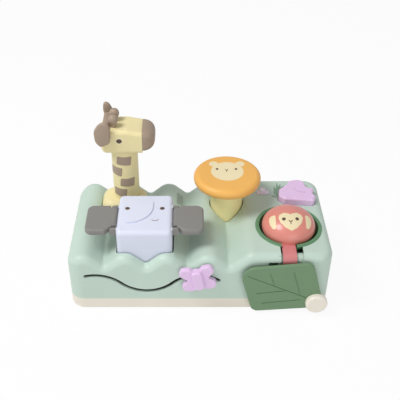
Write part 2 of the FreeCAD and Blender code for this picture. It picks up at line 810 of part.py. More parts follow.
lug_radius = ear_thickness / 2
ear_axis = elephant_width / 2 + ear_gap + lug_radius
lug_spans = [(ear_front + lug_inset, ear_front + lug_inset + lug_length),
             (ear_back - lug_inset - lug_length, ear_back - lug_inset)]


def mirrored(side, low, high):
    low_x = elephant_x + side * low
    high_x = elephant_x + side * high
    return (low_x, high_x) if side > 0 else (high_x, low_x)


def ear_lugs(side, word):
    pieces = []
    for number, (low, high) in enumerate(lug_spans):
        pieces.append(rod("lug_%s_%d" % (word, number), "y", elephant_x + side * ear_axis, low, ear_z,
                          lug_radius, high - low))
        pieces.append(block("lug_root_%s_%d" % (word, number), mirrored(side, elephant_width / 2 - skin, ear_axis),
                            (low, high), span(ear_z, ear_thickness)))
    return pieces


def ear(side, word):
    axis_x = elephant_x + side * ear_axis
    outer_x = elephant_x + side * (elephant_width / 2 + ear_reach)
    cut_x = axis_x + side * ear_chamfer
    corners = [(axis_x, ear_front + ear_chamfer), (cut_x, ear_front), (outer_x, ear_front),
               (outer_x, ear_back), (axis_x, ear_back)]
    body = doc.addObject("PartDesign::Body", "ear_plate_" + word)
    pad(body, outline(body, "XY_Plane", corners, ear_z - ear_thickness / 2), ear_thickness)
    round_off(body, ear_corner, lambda edge: along(edge, "z") and close(edge.CenterOfMass.x, outer_x))
    round_off(body, ear_edge, lambda edge: edge.BoundBox.ZLength < 0.01 and not along(edge, "y")
              or along(edge, "y") and close(edge.CenterOfMass.x, outer_x))
    barrel = rod("ear_barrel_" + word, "y", axis_x, ear_front + ear_chamfer, ear_z, lug_radius,
                 ear_back - ear_front - ear_chamfer)
    notches = []
    room = lug_radius + ear_gap + clear_gap
    for number, (low, high) in enumerate(lug_spans):
        low_side = low - ear_gap if number else ear_front - wall
        high_side = high + ear_gap if not number else ear_back + wall
        notches.append(block("lug_room_%s_%d" % (word, number), mirrored(side, ear_axis - room, ear_axis + room),
                             (low_side, high_side), span(ear_z, ear_thickness * 2)))
    bore = rod("ear_bore_" + word, "y", axis_x, ear_front, ear_z, ear_pin_radius + running_gap,
               ear_back - ear_front)
    return keep(cut("ear_body_" + word, join("ear_blank_" + word, body, barrel), bore, *notches), "ear_" + word)


elephant_lugs = ear_lugs(-1, "left") + ear_lugs(1, "right")
ear_pins = [rod("ear_pin_" + word, "y", elephant_x + side * ear_axis, lug_spans[0][0], ear_z, ear_pin_radius,
                lug_spans[1][1] - lug_spans[0][0]) for side, word in ((-1, "left"), (1, "right"))]
keep(join("ear_pin_set", *ear_pins), "ear_pins")
ear(-1, "left")
ear(1, "right")
elephant_blank = join("elephant_blank", elephant_form, trunk_curl, trunk_stem, *(
    elephant_lugs + stop_tabs("elephant", elephant_x, elephant_y, elephant_width, elephant_depth)))
elephant_pin_holes = [rod("ear_pin_hole_" + word, "y", elephant_x + side * ear_axis, ear_front, ear_z,
                          ear_pin_radius, ear_back - ear_front) for side, word in ((-1, "left"), (1, "right"))]
keep(cut("elephant_body", elephant_blank, elephant_room, *elephant_pin_holes), "elephant_head")

# Giraffe: a yellow shoulder block and round neck in one, brown inlays, a head with a cap muzzle and a soft crown
giraffe_form = plunger_form("giraffe_form", giraffe_x, giraffe_y, shoulder_width, shoulder_depth,
                            shoulder_top, shoulder_corner, shoulder_round)
giraffe_room = plunger_form("giraffe_room", giraffe_x, giraffe_y, shoulder_width, shoulder_depth,
                            shoulder_top, shoulder_corner, shoulder_round, skin)
neck_bottom = shoulder_top - shoulder_round * 0.6
neck = rod("neck", "z", neck_x, neck_y, neck_bottom, neck_radius, neck_top - neck_bottom)
neck_hollow = rod("neck_hollow", "z", neck_x, neck_y, shoulder_top + skin, neck_bore, neck_top)
giraffe_blank = join("giraffe_blank", giraffe_form, neck,
                     *stop_tabs("giraffe", giraffe_x, giraffe_y, shoulder_width, shoulder_depth))

# Neck inlays: four-sided brown patches let into the neck, the same again on its far side
patch_prisms = []
for number, (turn, z) in enumerate(zip(patch_turns, patch_heights)):
    low, high = span(0 * z, patch_height)
    left, right = span(z * 0, patch_width)
    corners = [(left, low + patch_slant), (right - patch_slant, low), (right, high), (left + patch_slant, high)]
    for half in (0, 180):
        body = doc.addObject("PartDesign::Body", "patch_prism_%d_%d" % (number, half))
        pad(body, outline(body, "YZ_Plane", corners), neck_radius * 2)
        round_off(body, patch_slant, lambda edge: along(edge, "x"))
        put_at(body, neck_x, neck_y, z, Rotation(Vector(0, 0, 1), float(turn) + half))
        patch_prisms.append(body)
neck_skin = rod("neck_skin", "z", neck_x, neck_y, shoulder_top, neck_radius + inlay_rise, neck_top - shoulder_top)
neck_core = rod("neck_core", "z", neck_x, neck_y, shoulder_top - wall, neck_radius - inlay_depth, neck_top)
patch_shell = cut("patch_shell", neck_skin, neck_core)
patch_solids = [overlap("patch_%d" % number, patch_shell, prism) for number, prism in enumerate(patch_prisms)]
patches = keep(join("patch_set", *patch_solids), "giraffe_spots")
keep(cut("giraffe_body_solid", giraffe_blank, neck_hollow, giraffe_room, patches), "giraffe_body")

head_base = neck_top
head_top = neck_top + head_height
brow_x = neck_x + neck_radius / 3
head_points = [(head_back_x, head_base), (muzzle_x, head_base), (head_front_x, head_base + head_lift),
               (head_front_x, head_top - head_drop), (brow_x, head_top), (head_back_x, head_top)]
head_form = doc.addObject("PartDesign::Body", "head_form")
pad(head_form, outline(head_form, "XZ_Plane", head_points, -neck_y), head_width, symmetric=True)
round_off(head_form, nose_round, lambda edge: close(edge.BoundBox.XMin, head_front_x)
          and close(edge.BoundBox.XMax, head_front_x))
round_off(head_form, head_round, lambda edge: along(edge, "z") and close(edge.CenterOfMass.x, head_back_x)
          or along(edge, "y") and close(edge.CenterOfMass.x, head_back_x))
head_side = head_width / 2
round_off(head_form, head_round - skin, lambda edge: edge.BoundBox.YLength < 0.01
          and close(abs(edge.CenterOfMass.y - neck_y), head_side)
          and edge.CenterOfMass.x < head_front_x - nose_round)
behind_muzzle = block("behind_muzzle", (-toy_width, muzzle_x), (-toy_depth, toy_depth), (0, above_all))
before_muzzle = block("before_muzzle", (muzzle_x, toy_width), (-toy_depth, toy_depth), (0, above_all))
spigot = rod("spigot", "z", neck_x, neck_y, neck_top - neck_radius / 2, neck_bore, neck_radius / 2 + skin)
head_room = block("head_room", (head_back_x + head_skin, muzzle_x), span(neck_y, head_width - head_skin * 2 - wall),
                  (head_base + head_skin, head_top - head_skin - wall))
keep(cut("head_body", join("head_blank", overlap("head_part", head_form, behind_muzzle), spigot), head_room),
     "giraffe_head")
keep(overlap("muzzle_part", head_form, before_muzzle), "giraffe_muzzle")


# Crown: two ears and two horns moulded on one soft band over the back of the head
crown_points = [(-0.05, 0), (0.32, 0.06), (0.5, 0.34), (0.42, 0.86), (0.02, 1), (-0.33, 0.92), (-0.5, 0.6),
                (-0.36, 0.2)]
far_ear_points = [(-0.5, 0), (0.5, 0), (0.42, 0.62), (0.1, 1), (-0.1, 1), (-0.45, 0.5)]
head_near_y = neck_y - head_width / 2
head_far_y = neck_y + head_width / 2


def giraffe_ear(name, points, low_y, low_z, height, corner):
    corners = [(giraffe_ear_x + giraffe_ear_width * share_x, low_z + height * share_z)
               for share_x, share_z in points]
    body = doc.addObject("PartDesign::Body", name)
    pad(body, outline(body, "XZ_Plane", corners, -low_y), giraffe_ear_thickness, reverse=True)
    round_off(body, corner, lambda edge: along(edge, "y"))
    return body


near_ear = giraffe_ear("near_ear", crown_points, head_near_y - giraffe_ear_thickness, giraffe_ear_low,
                       giraffe_ear_high - giraffe_ear_low, giraffe_ear_round)
far_ear_low = head_top - crown_band * 2
far_ear = giraffe_ear("far_ear", far_ear_points, head_far_y, far_ear_low, ear_tip_high - far_ear_low,
                      giraffe_ear_round * 0.7)
band_x = span(giraffe_ear_x + crown_band, crown_band_width)
band = block("crown_band_top", band_x, (head_near_y - giraffe_ear_thickness, head_far_y + giraffe_ear_thickness),
             (head_top - head_round + skin, head_top + crown_band))
band_soft = soften("crown_band_soft", band, crown_band / 2,
                   lambda edge: along(edge, "y") and edge.BoundBox.ZMin > float(head_top))
horns = [near_ear, far_ear, band_soft]
for number, y in enumerate(span(neck_y, horn_spread)):
    horns.append(rod("horn_%d" % number, "z", horn_x, y, head_top - skin, horn_radius, horn_height + skin))
    ball = doc.addObject("Part::Sphere", "horn_ball_%d" % number)
    tie(ball, Radius=horn_ball)
    put_at(ball, horn_x, y, head_top + horn_height)
    horns.append(ball)
horn_bridge = block("horn_bridge", (band_x[0] + crown_band, horn_x), span(neck_y, horn_spread + horn_radius * 2),
                    (head_top - skin, head_top + crown_band / 2))
keep(cut("crown_body", join("crown_blank", horn_bridge, *horns), head_form), "giraffe_crown")

# Lion: a hollow round plunger, with a mane disc that spins on an axle screw in the plunger's top
lion_outer = rod("lion_outer", "z", lion_x, lion_y, plunger_bottom, lion_radius, lion_top - plunger_bottom)
lion_flange = rod("lion_flange", "z", lion_x, lion_y, plunger_bottom, lion_radius + tab_reach, tab_height)
lion_room = rod("lion_room", "z", lion_x, lion_y, plunger_bottom - wall, lion_radius - lion_skin,
                lion_top - lion_plate - plunger_bottom + wall)
lion_bore = rod("lion_bore", "z", lion_x, lion_y, plunger_bottom, lion_axle_radius + running_gap, above_all)
keep(cut("lion_tube", join("lion_blank", lion_outer, lion_flange), lion_room, lion_bore), "lion_body")
lion_plate_low = lion_top - lion_plate
axle_head_height = tab_height
lion_axle_stem = rod("lion_axle_stem", "z", lion_x, lion_y, lion_plate_low - clear_gap, lion_axle_radius,
                     mane_bottom + lion_axle_depth - lion_plate_low + clear_gap)
lion_axle_cap = rod("lion_axle_cap", "z", lion_x, lion_y, lion_plate_low - clear_gap - axle_head_height,
                    lion_axle_head, axle_head_height)
keep(join("lion_axle_screw", lion_axle_stem, lion_axle_cap), "lion_axle")
mane_disc = rod("mane_disc", "z", lion_x, lion_y, mane_bottom, mane_radius, mane_thickness)
mane_soft = soften("mane_soft", mane_disc, mane_round, lambda edge: is_round(edge) and edge.BoundBox.ZLength < 0.01)
mane_top = mane_bottom + mane_thickness
mane_bore = rod("mane_bore", "z", lion_x, lion_y, mane_bottom - wall, lion_axle_radius, lion_axle_depth + wall)


def lion_face_form(name, height):
    low = mane_top - face_depth
    y = lion_y + lion_face_back
    pieces = [rod(name + "_disc", "z", lion_x, y, low, lion_face_radius, height)]
    for side, word in ((-1, "left"), (1, "right")):
        pieces.append(rod("%s_ear_%s" % (name, word), "z", lion_x + lion_ear_x * side, y + lion_ear_y, low,
                          lion_ear_radius, height))
    return join(name, *pieces)


keep(cut("mane_body", mane_soft, mane_bore, lion_face_form("lion_face_recess", face_depth * 2)), "lion_mane")
keep(lion_face_form("lion_face_plate", face_depth), "lion_face")

# Monkey: a coral dome that lies in a bowl and swings up on a C-shaped clip round a barrel of the shell
dome_z = plateau_height + 1


def oval(name, radius, half_height):
    item = doc.addObject("Part::Ellipsoid", name)
    tie(item, Radius1=half_height, Radius2=radius, Radius3=radius)
    put_at(item, monkey_x, monkey_y, dome_z)
    return item


arm_x_span = span(arm_x, arm_width)
arm_low_z = hinge_z + barrel_radius + clear_gap
arm_high_z = arm_low_z + arm_thickness
arm_strap_end = monkey_y - dome_radius + arm_reach * 0.35
arm_strap = block("arm_strap", arm_x_span, (hinge_y, arm_strap_end), (arm_low_z, arm_high_z))
clip_turn = TURNS["x"].multiply(Rotation(Vector(0, 0, 1), 90 + float(arm_wrap_start)))
clip_outer = rod("clip_outer", "x", arm_x_span[0], hinge_y, hinge_z, arm_high_z - hinge_z, arm_width)
clip_outer.Placement = Placement(clip_outer.Placement.Base, clip_turn)
tie(clip_outer, Angle=arm_wrap)
clip_core = rod("clip_core", "x", arm_x_span[0] - wall, hinge_y, hinge_z, arm_low_z - hinge_z, arm_width + wall * 2)
arm_clip = cut("arm_clip", clip_outer, clip_core)
keep(join("arm_body", arm_clip, arm_strap), "monkey_arm")
arm_pocket = block("arm_pocket", arm_x_span, (hinge_y, arm_strap_end), (arm_low_z, arm_high_z))

dome_skin = oval("dome_skin", dome_radius + heart_rise, dome_half_height + heart_rise)
dome_core = oval("dome_core", dome_radius - heart_depth, dome_half_height - heart_depth)
inlay_shell = cut("inlay_shell", dome_skin, dome_core)
face_turn = Rotation(Vector(1, 0, 0), float(face_tilt))
half_width = heart_width / 2
heart_shares = [(0.471, -0.664), (0.871, -0.389), (1, -0.097), (0.893, 0.073), (0.536, 0.182), (0.179, 0.113)]
heart_right = [(half_width * x, heart_height * y) for x, y in heart_shares]
heart_points = [(half_width * 0, -heart_height * 0.818)] + heart_right + [(half_width * 0, heart_height * 0.049)]
heart_points += [(-x, y) for x, y in reversed(heart_right)]


def face_prism(name, points, corner):
    body = doc.addObject("PartDesign::Body", name)
    pad(body, outline(body, "XY_Plane", points), dome_radius * 2)
    round_off(body, corner, lambda edge: along(edge, "z"))
    put_at(body, monkey_x, monkey_y, dome_z, face_turn)
    return body


def monkey_ear_points(side):
    shares = [(0, -0.842), (0.479, -0.789), (0.863, -0.5), (1, -0.211), (0.89, 0.026), (0.548, 0.158), (0, 0.137)]
    points = [((monkey_ear_x + monkey_ear_width * x) * side, monkey_ear_height * y) for x, y in shares]
    return points if side > 0 else list(reversed(points))


heart_prism = face_prism("heart_prism", heart_points, half_width * 0.13)
monkey_ear_prisms = [face_prism("monkey_ear_prism_" + word, monkey_ear_points(side), monkey_ear_width * 0.22)
                     for side, word in ((-1, "left"), (1, "right"))]
heart = keep(overlap("heart_plate", inlay_shell, heart_prism), "monkey_face")
monkey_ear_plates = [overlap("monkey_ear_plate_%d" % number, inlay_shell, prism)
                     for number, prism in enumerate(monkey_ear_prisms)]
monkey_ears = keep(join("monkey_ear_set", *monkey_ear_plates), "monkey_ears")
dome_form = oval("dome_form", dome_radius, dome_half_height)
keep(cut("dome_body", dome_form, arm_pocket, heart, monkey_ears), "monkey_dome")

bowl_radius = dome_radius + bowl_gap
bowl_depth = dome_half_height + clear_gap
bowl_outer = oval("bowl_outer", bowl_radius + bowl_wall, bowl_depth + bowl_wall)
bowl_inner = oval("bowl_inner", bowl_radius, bowl_depth)
rim_high = plateau_height + bowl_rim
rim_outer = rod("rim_outer", "z", monkey_x, monkey_y, plateau_height, bowl_radius + bowl_wall + bowl_rim_reach,
                bowl_rim)
rim_core = rod("rim_core", "z", monkey_x, monkey_y, plateau_height - wall, bowl_radius, wall * 3)
rim_soft = soften("rim_soft", rim_outer, bowl_rim * 0.6, lambda edge: is_round(edge) and level(edge, rim_high))
below_rim = block("below_rim", (-toy_width, toy_width), (-toy_depth, toy_depth), (0, dome_z))
bowl_shell = overlap("bowl_shell", cut("bowl_wall_form", bowl_outer, bowl_inner), below_rim)
arm_gate = block("arm_gate", (arm_x_span[0] - clear_gap * 3, arm_x_span[1] + clear_gap * 3),
                 (monkey_y - dome_radius * 2, monkey_y - dome_radius + wall), (arm_low_z - wall * 2, above_all))
keep(cut("bowl_body", join("bowl_blank", bowl_shell, cut("rim_ring", rim_soft, rim_core)), arm_gate), "monkey_bowl")

# Butterfly: it hangs on a pin through the wavy slot, with a collar outside and a washer inside
wave_run = wave_length / 4
wave_turn = math.degrees(2 * math.atan(float(wave_rise) / float(wave_run)))
wave_radius = (wave_run * wave_run + wave_rise * wave_rise) / (wave_rise * 2)
wave_crest_z = wave_middle_z + wave_rise - wave_radius
wave_trough_z = wave_middle_z - wave_rise + wave_radius
wave_trough_x = wave_crest_x - wave_length / 2
wave_old_crest_x = wave_crest_x - wave_length
slot_y = front - wall


def slot_arc(name, x, z, low_angle, high_angle):
    outer = rod(name + "_outer", "y", x, slot_y, z, wave_radius + slot_width / 2, wall * 3)
    turn = TURNS["y"].multiply(Rotation(Vector(0, 0, 1), -high_angle))
    outer.Placement = Placement(outer.Placement.Base, turn)
    outer.Angle = high_angle - low_angle
    inner = rod(name + "_inner", "y", x, slot_y - wall, z, wave_radius - slot_width / 2, wall * 5)
    return cut(name, outer, inner)


def angle_at(x, centre_x):
    return math.degrees(math.acos((float(x) - float(centre_x)) / float(wave_radius)))


def wave_end(name, x, centre_x):
    z = wave_crest_z + root(wave_radius * wave_radius - (x - centre_x) * (x - centre_x))
    return rod(name, "y", x, slot_y, z, slot_width / 2, wall * 3)


track = join(
    "track",
    slot_arc("track_right", wave_crest_x, wave_crest_z, angle_at(wave_high_x, wave_crest_x), 90 + wave_turn),
    slot_arc("track_middle", wave_trough_x, wave_trough_z, 270 - wave_turn, 270 + wave_turn),
    slot_arc("track_left", wave_old_crest_x, wave_crest_z, 90 - wave_turn, angle_at(wave_low_x, wave_old_crest_x)),
    wave_end("track_right_end", wave_high_x, wave_crest_x),
    wave_end("track_left_end", wave_low_x, wave_old_crest_x),
)
butterfly_x = wave_crest_x
butterfly_z = wave_middle_z + wave_rise
collar_back = front - clear_gap
wing_back = collar_back - butterfly_collar - clear_gap
butterfly_pin_front = wing_back - wing_thickness
washer_front = front + wall + clear_gap
butterfly_pin = rod("butterfly_pin", "y", butterfly_x, butterfly_pin_front, butterfly_z, butterfly_pin_radius,
                    washer_front + butterfly_washer - butterfly_pin_front)
butterfly_collar_disc = rod("butterfly_collar_disc", "y", butterfly_x, collar_back - butterfly_collar, butterfly_z,
                            butterfly_collar_radius, butterfly_collar)
keep(join("butterfly_stem_body", butterfly_pin, butterfly_collar_disc), "butterfly_stem")
washer_disc = rod("washer_disc", "y", butterfly_x, washer_front, butterfly_z, butterfly_washer_radius,
                  butterfly_washer)
washer_hole = rod("washer_hole", "y", butterfly_x, washer_front - wall, butterfly_z, butterfly_pin_radius,
                  wall * 3)
keep(cut("butterfly_washer_body", washer_disc, washer_hole), "butterfly_washer")
wing_notch = 0.2
butterfly_half = [(0, 8), (7, 16.8), (16.5, 17.2), (20.6, 9), (11.5, wing_notch), (19.6, -6), (18.8, -14.5),
                  (8, -16.6), (0, -9)]
butterfly_outline = [(-x, y) for x, y in butterfly_half[1:-1]] + list(reversed(butterfly_half))
butterfly_form = doc.addObject("PartDesign::Body", "butterfly_form")
pad(butterfly_form, outline(butterfly_form, "XZ_Plane", butterfly_outline), wing_thickness)
round_off(butterfly_form, wing_round, lambda edge: along(edge, "y") and abs(edge.BoundBox.XMin) > wing_round
          and not close(edge.BoundBox.ZMin, wing_notch))
round_off(butterfly_form, wing_edge, lambda edge: along(edge, "y") and close(edge.BoundBox.ZMin, wing_notch))
round_off(butterfly_form, wing_edge, lambda edge: edge.BoundBox.YLength < 0.01
          and close(edge.BoundBox.YMin, -wing_thickness))
bar_x = span(butterfly_x * 0, butterfly_bar_width)
bar_z = span(butterfly_x * 0, butterfly_bar_length)
bar_form = doc.addObject("PartDesign::Body", "bar_form")
bar_corners = [(bar_x[0], bar_z[0]), (bar_x[1], bar_z[0]), (bar_x[1], bar_z[1]), (bar_x[0], bar_z[1])]
pad(bar_form, outline(bar_form, "XZ_Plane", bar_corners), wing_thickness + butterfly_bar_rise)
round_off(bar_form, butterfly_bar_width * 0.36, lambda edge: along(edge, "y"))
round_off(bar_form, wing_edge, lambda edge: edge.BoundBox.YLength < 0.01
          and close(edge.BoundBox.YMin, -wing_thickness - butterfly_bar_rise))
butterfly_blank = join("butterfly_blank", butterfly_form, bar_form)
butterfly_pin_hole = rod("butterfly_pin_hole", "y", 0, -wing_thickness - clear_gap, 0,
                         butterfly_pin_radius + running_gap, wing_thickness * 2)
butterfly_body = keep(cut("butterfly_body", butterfly_blank, butterfly_pin_hole), "butterfly")
put_at(butterfly_body, butterfly_x, wing_back, butterfly_z,
       Rotation(Vector(0, -1, 0), float(butterfly_tilt)))

# Leaf: a flat plate with engraved veins, on a pin with a knob in front and a washer inside
leaf_points = [(61, 2.6), (127, 8), (142, 17), (125.6, 76), (43.6, 67)]
leaf_back = front - leaf_standoff
leaf_front = leaf_back - leaf_thickness
leaf_form = doc.addObject("PartDesign::Body", "leaf_form")
pad(leaf_form, outline(leaf_form, "XZ_Plane", leaf_points, -leaf_back), leaf_thickness)
leaf_tip_x = leaf_points[-1][0]
round_off(leaf_form, leaf_tip_round, lambda edge: along(edge, "y") and close(edge.BoundBox.XMin, leaf_tip_x))
round_off(leaf_form, leaf_round, lambda edge: along(edge, "y") and edge.BoundBox.XMin > leaf_tip_x + leaf_tip_round)
round_off(leaf_form, leaf_edge, lambda edge: edge.BoundBox.YLength < 0.01)
veins = [((53.7, 57.2), (122.5, 23.8)), ((78.1, 61.9), (83.8, 43.7)), ((104, 64), (115, 27.1)),
         ((64.4, 30.5), (99.8, 35.4)), ((70.9, 15.2), (115.6, 20.9))]
vein_tools = []
for number, (start, end) in enumerate(veins):
    length = math.hypot(end[0] - start[0], end[1] - start[1])
    tilt = math.degrees(math.atan2(end[1] - start[1], end[0] - start[0]))
    groove = doc.addObject("Part::Box", "vein_%d" % number)
    tie(groove, Length=length, Width=vein_depth * 2, Height=vein_width)
    put_at(groove, start[0], leaf_front - vein_depth, start[1], Rotation(Vector(0, -1, 0), tilt))
    vein_tools.append(groove)
leaf_pin_hole = rod("leaf_pin_hole", "y", leaf_pivot_x, leaf_front - wall, leaf_pivot_z, leaf_pin_radius,
                    leaf_thickness + wall * 2)
keep(cut("leaf_body", leaf_form, leaf_pin_hole, *vein_tools), "leaf")
knob_disc = rod("knob_disc", "y", leaf_pivot_x, leaf_front - leaf_knob_thickness, leaf_pivot_z, leaf_knob_radius,
                leaf_knob_thickness)
knob_soft = soften("knob_soft", knob_disc, leaf_knob_edge, lambda edge: is_round(edge)
                   and close(edge.BoundBox.YMax, leaf_front - leaf_knob_thickness))
leaf_boss_end = front + leaf_boss_depth
knob_pin = rod("knob_pin", "y", leaf_pivot_x, leaf_front, leaf_pivot_z, leaf_pin_radius,
               leaf_boss_end + clear_gap + leaf_washer_thickness - leaf_front)
keep(join("knob_body", knob_soft, knob_pin), "leaf_knob")
leaf_washer_disc = rod("leaf_washer_disc", "y", leaf_pivot_x, leaf_boss_end + clear_gap, leaf_pivot_z,
                       leaf_washer_radius, leaf_washer_thickness)
leaf_washer_hole = rod("leaf_washer_hole", "y", leaf_pivot_x, leaf_boss_end, leaf_pivot_z, leaf_pin_radius,
                       wall * 2)
keep(cut("leaf_washer_body", leaf_washer_disc, leaf_washer_hole), "leaf_washer")

# Bird button: a lilac bird that presses a dome switch on the board, pushed back up by its own spring
bird_points = [(-22, -11), (-15, -18), (19.5, -21.5), (23.5, -12), (20, -6), (23.5, 4.5), (14.5, 6.5), (11.5, 20),
               (4, 23), (-6, 20), (-9.5, 12.5), (-20, 2)]
bird_top = plateau_height + bird_rise
ceiling = plateau_height - wall
bird_low = ceiling - clear_gap - bird_tab


def bird_prism(name, gap, low, high):
    points = [(bird_x + x, bird_y + y) for x, y in grown(bird_points, gap)]
    return rounded_prism(name, "XY_Plane", points, low, high - low, bird_round + gap)


bird_form = bird_prism("bird_form", 0, bird_low, bird_top)
round_off(bird_form, bird_edge, lambda edge: level(edge, bird_top))
wing_ring = rod("wing_ring", "z", bird_x + wing_line_x, bird_y + wing_line_y, bird_top - vein_depth,
                wing_line, wall)
wing_core = rod("wing_core", "z", bird_x + wing_line_x, bird_y + wing_line_y, bird_top - wall,
                wing_line - vein_width, wall * 3)
wing_part = block("wing_part", (bird_x - wing_line, bird_x + wing_line), (bird_y - wing_line, bird_y + wing_line / 3),
                  (bird_top - wall, bird_top + wall))
wing_mark = overlap("wing_mark", cut("wing_ring_cut", wing_ring, wing_core), wing_part)
bird_tabs = block("bird_tabs", (bird_x - 22 - bird_tab_reach, bird_x + 22 + bird_tab_reach), span(bird_y - 9, 8),
                  (bird_low, bird_low + bird_tab))
board_top = board_z + board_thickness
bird_stem_low = board_top + dome_switch_height + bird_travel + clear_gap
bird_stem = rod("bird_stem", "z", bird_x, bird_y, bird_stem_low, bird_stem_radius, bird_low - bird_stem_low)
keep(cut("bird_body", join("bird_blank", bird_form, bird_tabs, bird_stem), wing_mark), "bird_button")
spring("bird_spring", bird_x, bird_y, bird_spring_inner, bird_spring_outer, board_top, bird_low)
keep(rod("dome_switch", "z", bird_x, bird_y, board_top, bird_stem_radius, dome_switch_height), "button_switch")
bird_hole = bird_prism("bird_hole", bird_gap, ceiling - wall, bird_top)

# Power switch: a sliding key over a short slot, which drives the switch below it on the board
power_plate_x = (power_x - power_stem / 2 - power_plate_length / 3, power_x - power_stem / 2
                 + power_plate_length * 2 / 3)
plate_low = plateau_height + clear_gap
power_cover = block("power_cover", power_plate_x, span(power_y, power_plate_width),
                    (plate_low, plate_low + power_plate))
power_cover_soft = soften("power_cover_soft", power_cover, power_plate_width * 0.3, lambda edge: along(edge, "z"))
power_key = block("power_key", span(power_x, power_knob_length), span(power_y, power_plate_width - power_plate),
                  (plate_low, plate_low + power_plate + power_knob_rise))
power_key_top = plate_low + power_plate + power_knob_rise
power_key_soft = soften("power_key_soft", power_key, power_plate_width * 0.3,
                        lambda edge: level(edge, power_key_top) or along(edge, "z"))
power_switch_top = board_top + power_switch_height
power_post = block("power_post", span(power_x, power_stem), span(power_y, power_stem * 0.8),
                   (power_switch_top + clear_gap, plate_low + power_plate))
keep(join("power_slider_body", power_cover_soft, power_key_soft, power_post), "power_slider")
power_slot = block("power_slot", (power_x - power_stem / 2 - clear_gap, power_x + power_stem / 2 + power_travel
                                  + clear_gap), span(power_y, power_stem * 0.8 + clear_gap * 2),
                   (ceiling - wall, bird_top))
keep(block("power_switch_case", span(power_x + power_travel / 2, power_plate_length), span(power_y, power_plate_width),
           (board_top, power_switch_top)), "power_switch")

# Circuit board: it hangs from four posts of the shell, on screws from below
board_plate = block("board_plate", (board_low_x, board_high_x), (board_low_y, board_high_y), (board_z, board_top))
board_places = [(x, y) for x in (board_post_low_x, board_post_high_x) for y in (board_post_low_y, board_post_high_y)]
board_posts = []
board_pilots = []
board_holes = []
board_screws = []
for number, (x, y) in enumerate(board_places):
    board_posts.append(rod("board_post_%d" % number, "z", x, y, board_top, board_post_radius,
                           plateau_height - board_top))
    board_pilots.append(rod("board_pilot_%d" % number, "z", x, y, board_z, board_screw_radius,
                            board_screw_length + clear_gap))
    board_holes.append(rod("board_hole_%d" % number, "z", x, y, board_z - wall, board_screw_radius,
                           board_thickness + wall * 2))
    board_screws.append(screw("board_screw_%d" % number, x, y, board_z, board_screw_radius, board_screw_length,
                              board_screw_head, board_thickness))
keep(cut("board_body", board_plate, *board_holes), "circuit_board")
keep(join("board_screw_set", *board_screws), "board_screws")

# Speaker: it sits in a round collar under the slits of the third hill
speaker_rim_disc = rod("speaker_rim_disc", "z", speaker_x, speaker_y, speaker_z, speaker_radius, speaker_rim)
speaker_cone = doc.addObject("Part::Cone", "speaker_cone")
tie(speaker_cone, Radius1=speaker_magnet_radius, Radius2=speaker_radius - skin, Height=speaker_magnet / 2)
put_at(speaker_cone, speaker_x, speaker_y, speaker_z - speaker_magnet / 2)
speaker_magnet_disc = rod("speaker_magnet_disc", "z", speaker_x, speaker_y, speaker_z - speaker_magnet,
                          speaker_magnet_radius, speaker_magnet)
speaker_hollow = doc.addObject("Part::Cone", "speaker_hollow")
tie(speaker_hollow, Radius1=speaker_magnet_radius / 2, Radius2=speaker_radius - skin, Height=speaker_rim)
put_at(speaker_hollow, speaker_x, speaker_y, speaker_z + skin / 2)
keep(cut("speaker_body", join("speaker_blank", speaker_rim_disc, speaker_cone, speaker_magnet_disc),
         speaker_hollow), "speaker")
speaker_top = speaker_z + speaker_rim
collar_outer = rod("collar_outer", "z", speaker_x, speaker_y, speaker_z, speaker_radius + clear_gap + guide_wall,
                   plateau_height)
collar_seat = rod("collar_seat", "z", speaker_x, speaker_y, speaker_z - wall, speaker_radius + clear_gap,
                  speaker_rim + wall)
collar_mouth = rod("collar_mouth", "z", speaker_x, speaker_y, speaker_z, speaker_radius - speaker_ledge,
                   above_all)
slits = [block("slit_%d" % number, (grille_low_x, grille_high_x),
               span(grille_first_y + grille_pitch * number, grille_slit), (speaker_top, above_all))
         for number in range(grille_count)]

# Shell: the hilly top with its wells, guides, posts and openings
guides = []
wells = []


def well(name, x, y, width, depth, corner):
    low_x, high_x = span(x, width + well_gap * 2)
    low_y, high_y = span(y, depth + well_gap * 2)
    guides.append(block(name + "_guide", (low_x - guide_wall, high_x + guide_wall),
                        (low_y - guide_wall, high_y + guide_wall), (guide_bottom, above_all)))
    body = doc.addObject("PartDesign::Body", name + "_well")
    corners = [(low_x, low_y), (high_x, low_y), (high_x, high_y), (low_x, high_y)]
    pad(body, outline(body, "XY_Plane", corners, guide_bottom - wall), toy_depth)
    round_off(body, corner + well_gap, lambda edge: along(edge, "z"))
    wells.append(body)


well("elephant", elephant_x, elephant_y, elephant_width, elephant_depth, elephant_corner)
well("giraffe", giraffe_x, giraffe_y, shoulder_width, shoulder_depth, shoulder_corner)
guides.append(rod("lion_guide", "z", lion_x, lion_y, guide_bottom, lion_radius + well_gap + guide_wall, toy_depth))
wells.append(rod("lion_well", "z", lion_x, lion_y, guide_bottom - wall, lion_radius + well_gap, toy_depth))
peek_back = front + peek_depth
peek_case = block("peek_case", (peek_low_x - peek_wall, notch_high_x + peek_wall),
                  (front + wall / 2, peek_back + peek_wall), (peek_low_z - peek_wall, hinge_z))
peek_side = block("peek_side", (peek_low_x - peek_wall, notch_low_x), (front + wall / 2, peek_back + peek_wall),
                  (hinge_z - wall, ceiling + wall / 2))
peek_room = block("peek_room", (peek_low_x, notch_high_x), (front - wall, peek_back), (peek_low_z, peek_high_z))
arm_notch = block("arm_notch", (notch_low_x, notch_high_x), (front - wall, peek_back),
                  (hinge_z - wall, above_all))
arm_way = block("arm_way", (notch_low_x, notch_high_x), (peek_back - wall, monkey_y - dome_radius),
                (arm_low_z - wall, above_all))
bowl_hole = rod("bowl_hole", "z", monkey_x, monkey_y, ceiling - edge_radius, bowl_radius + bowl_wall + clear_gap,
                above_all)
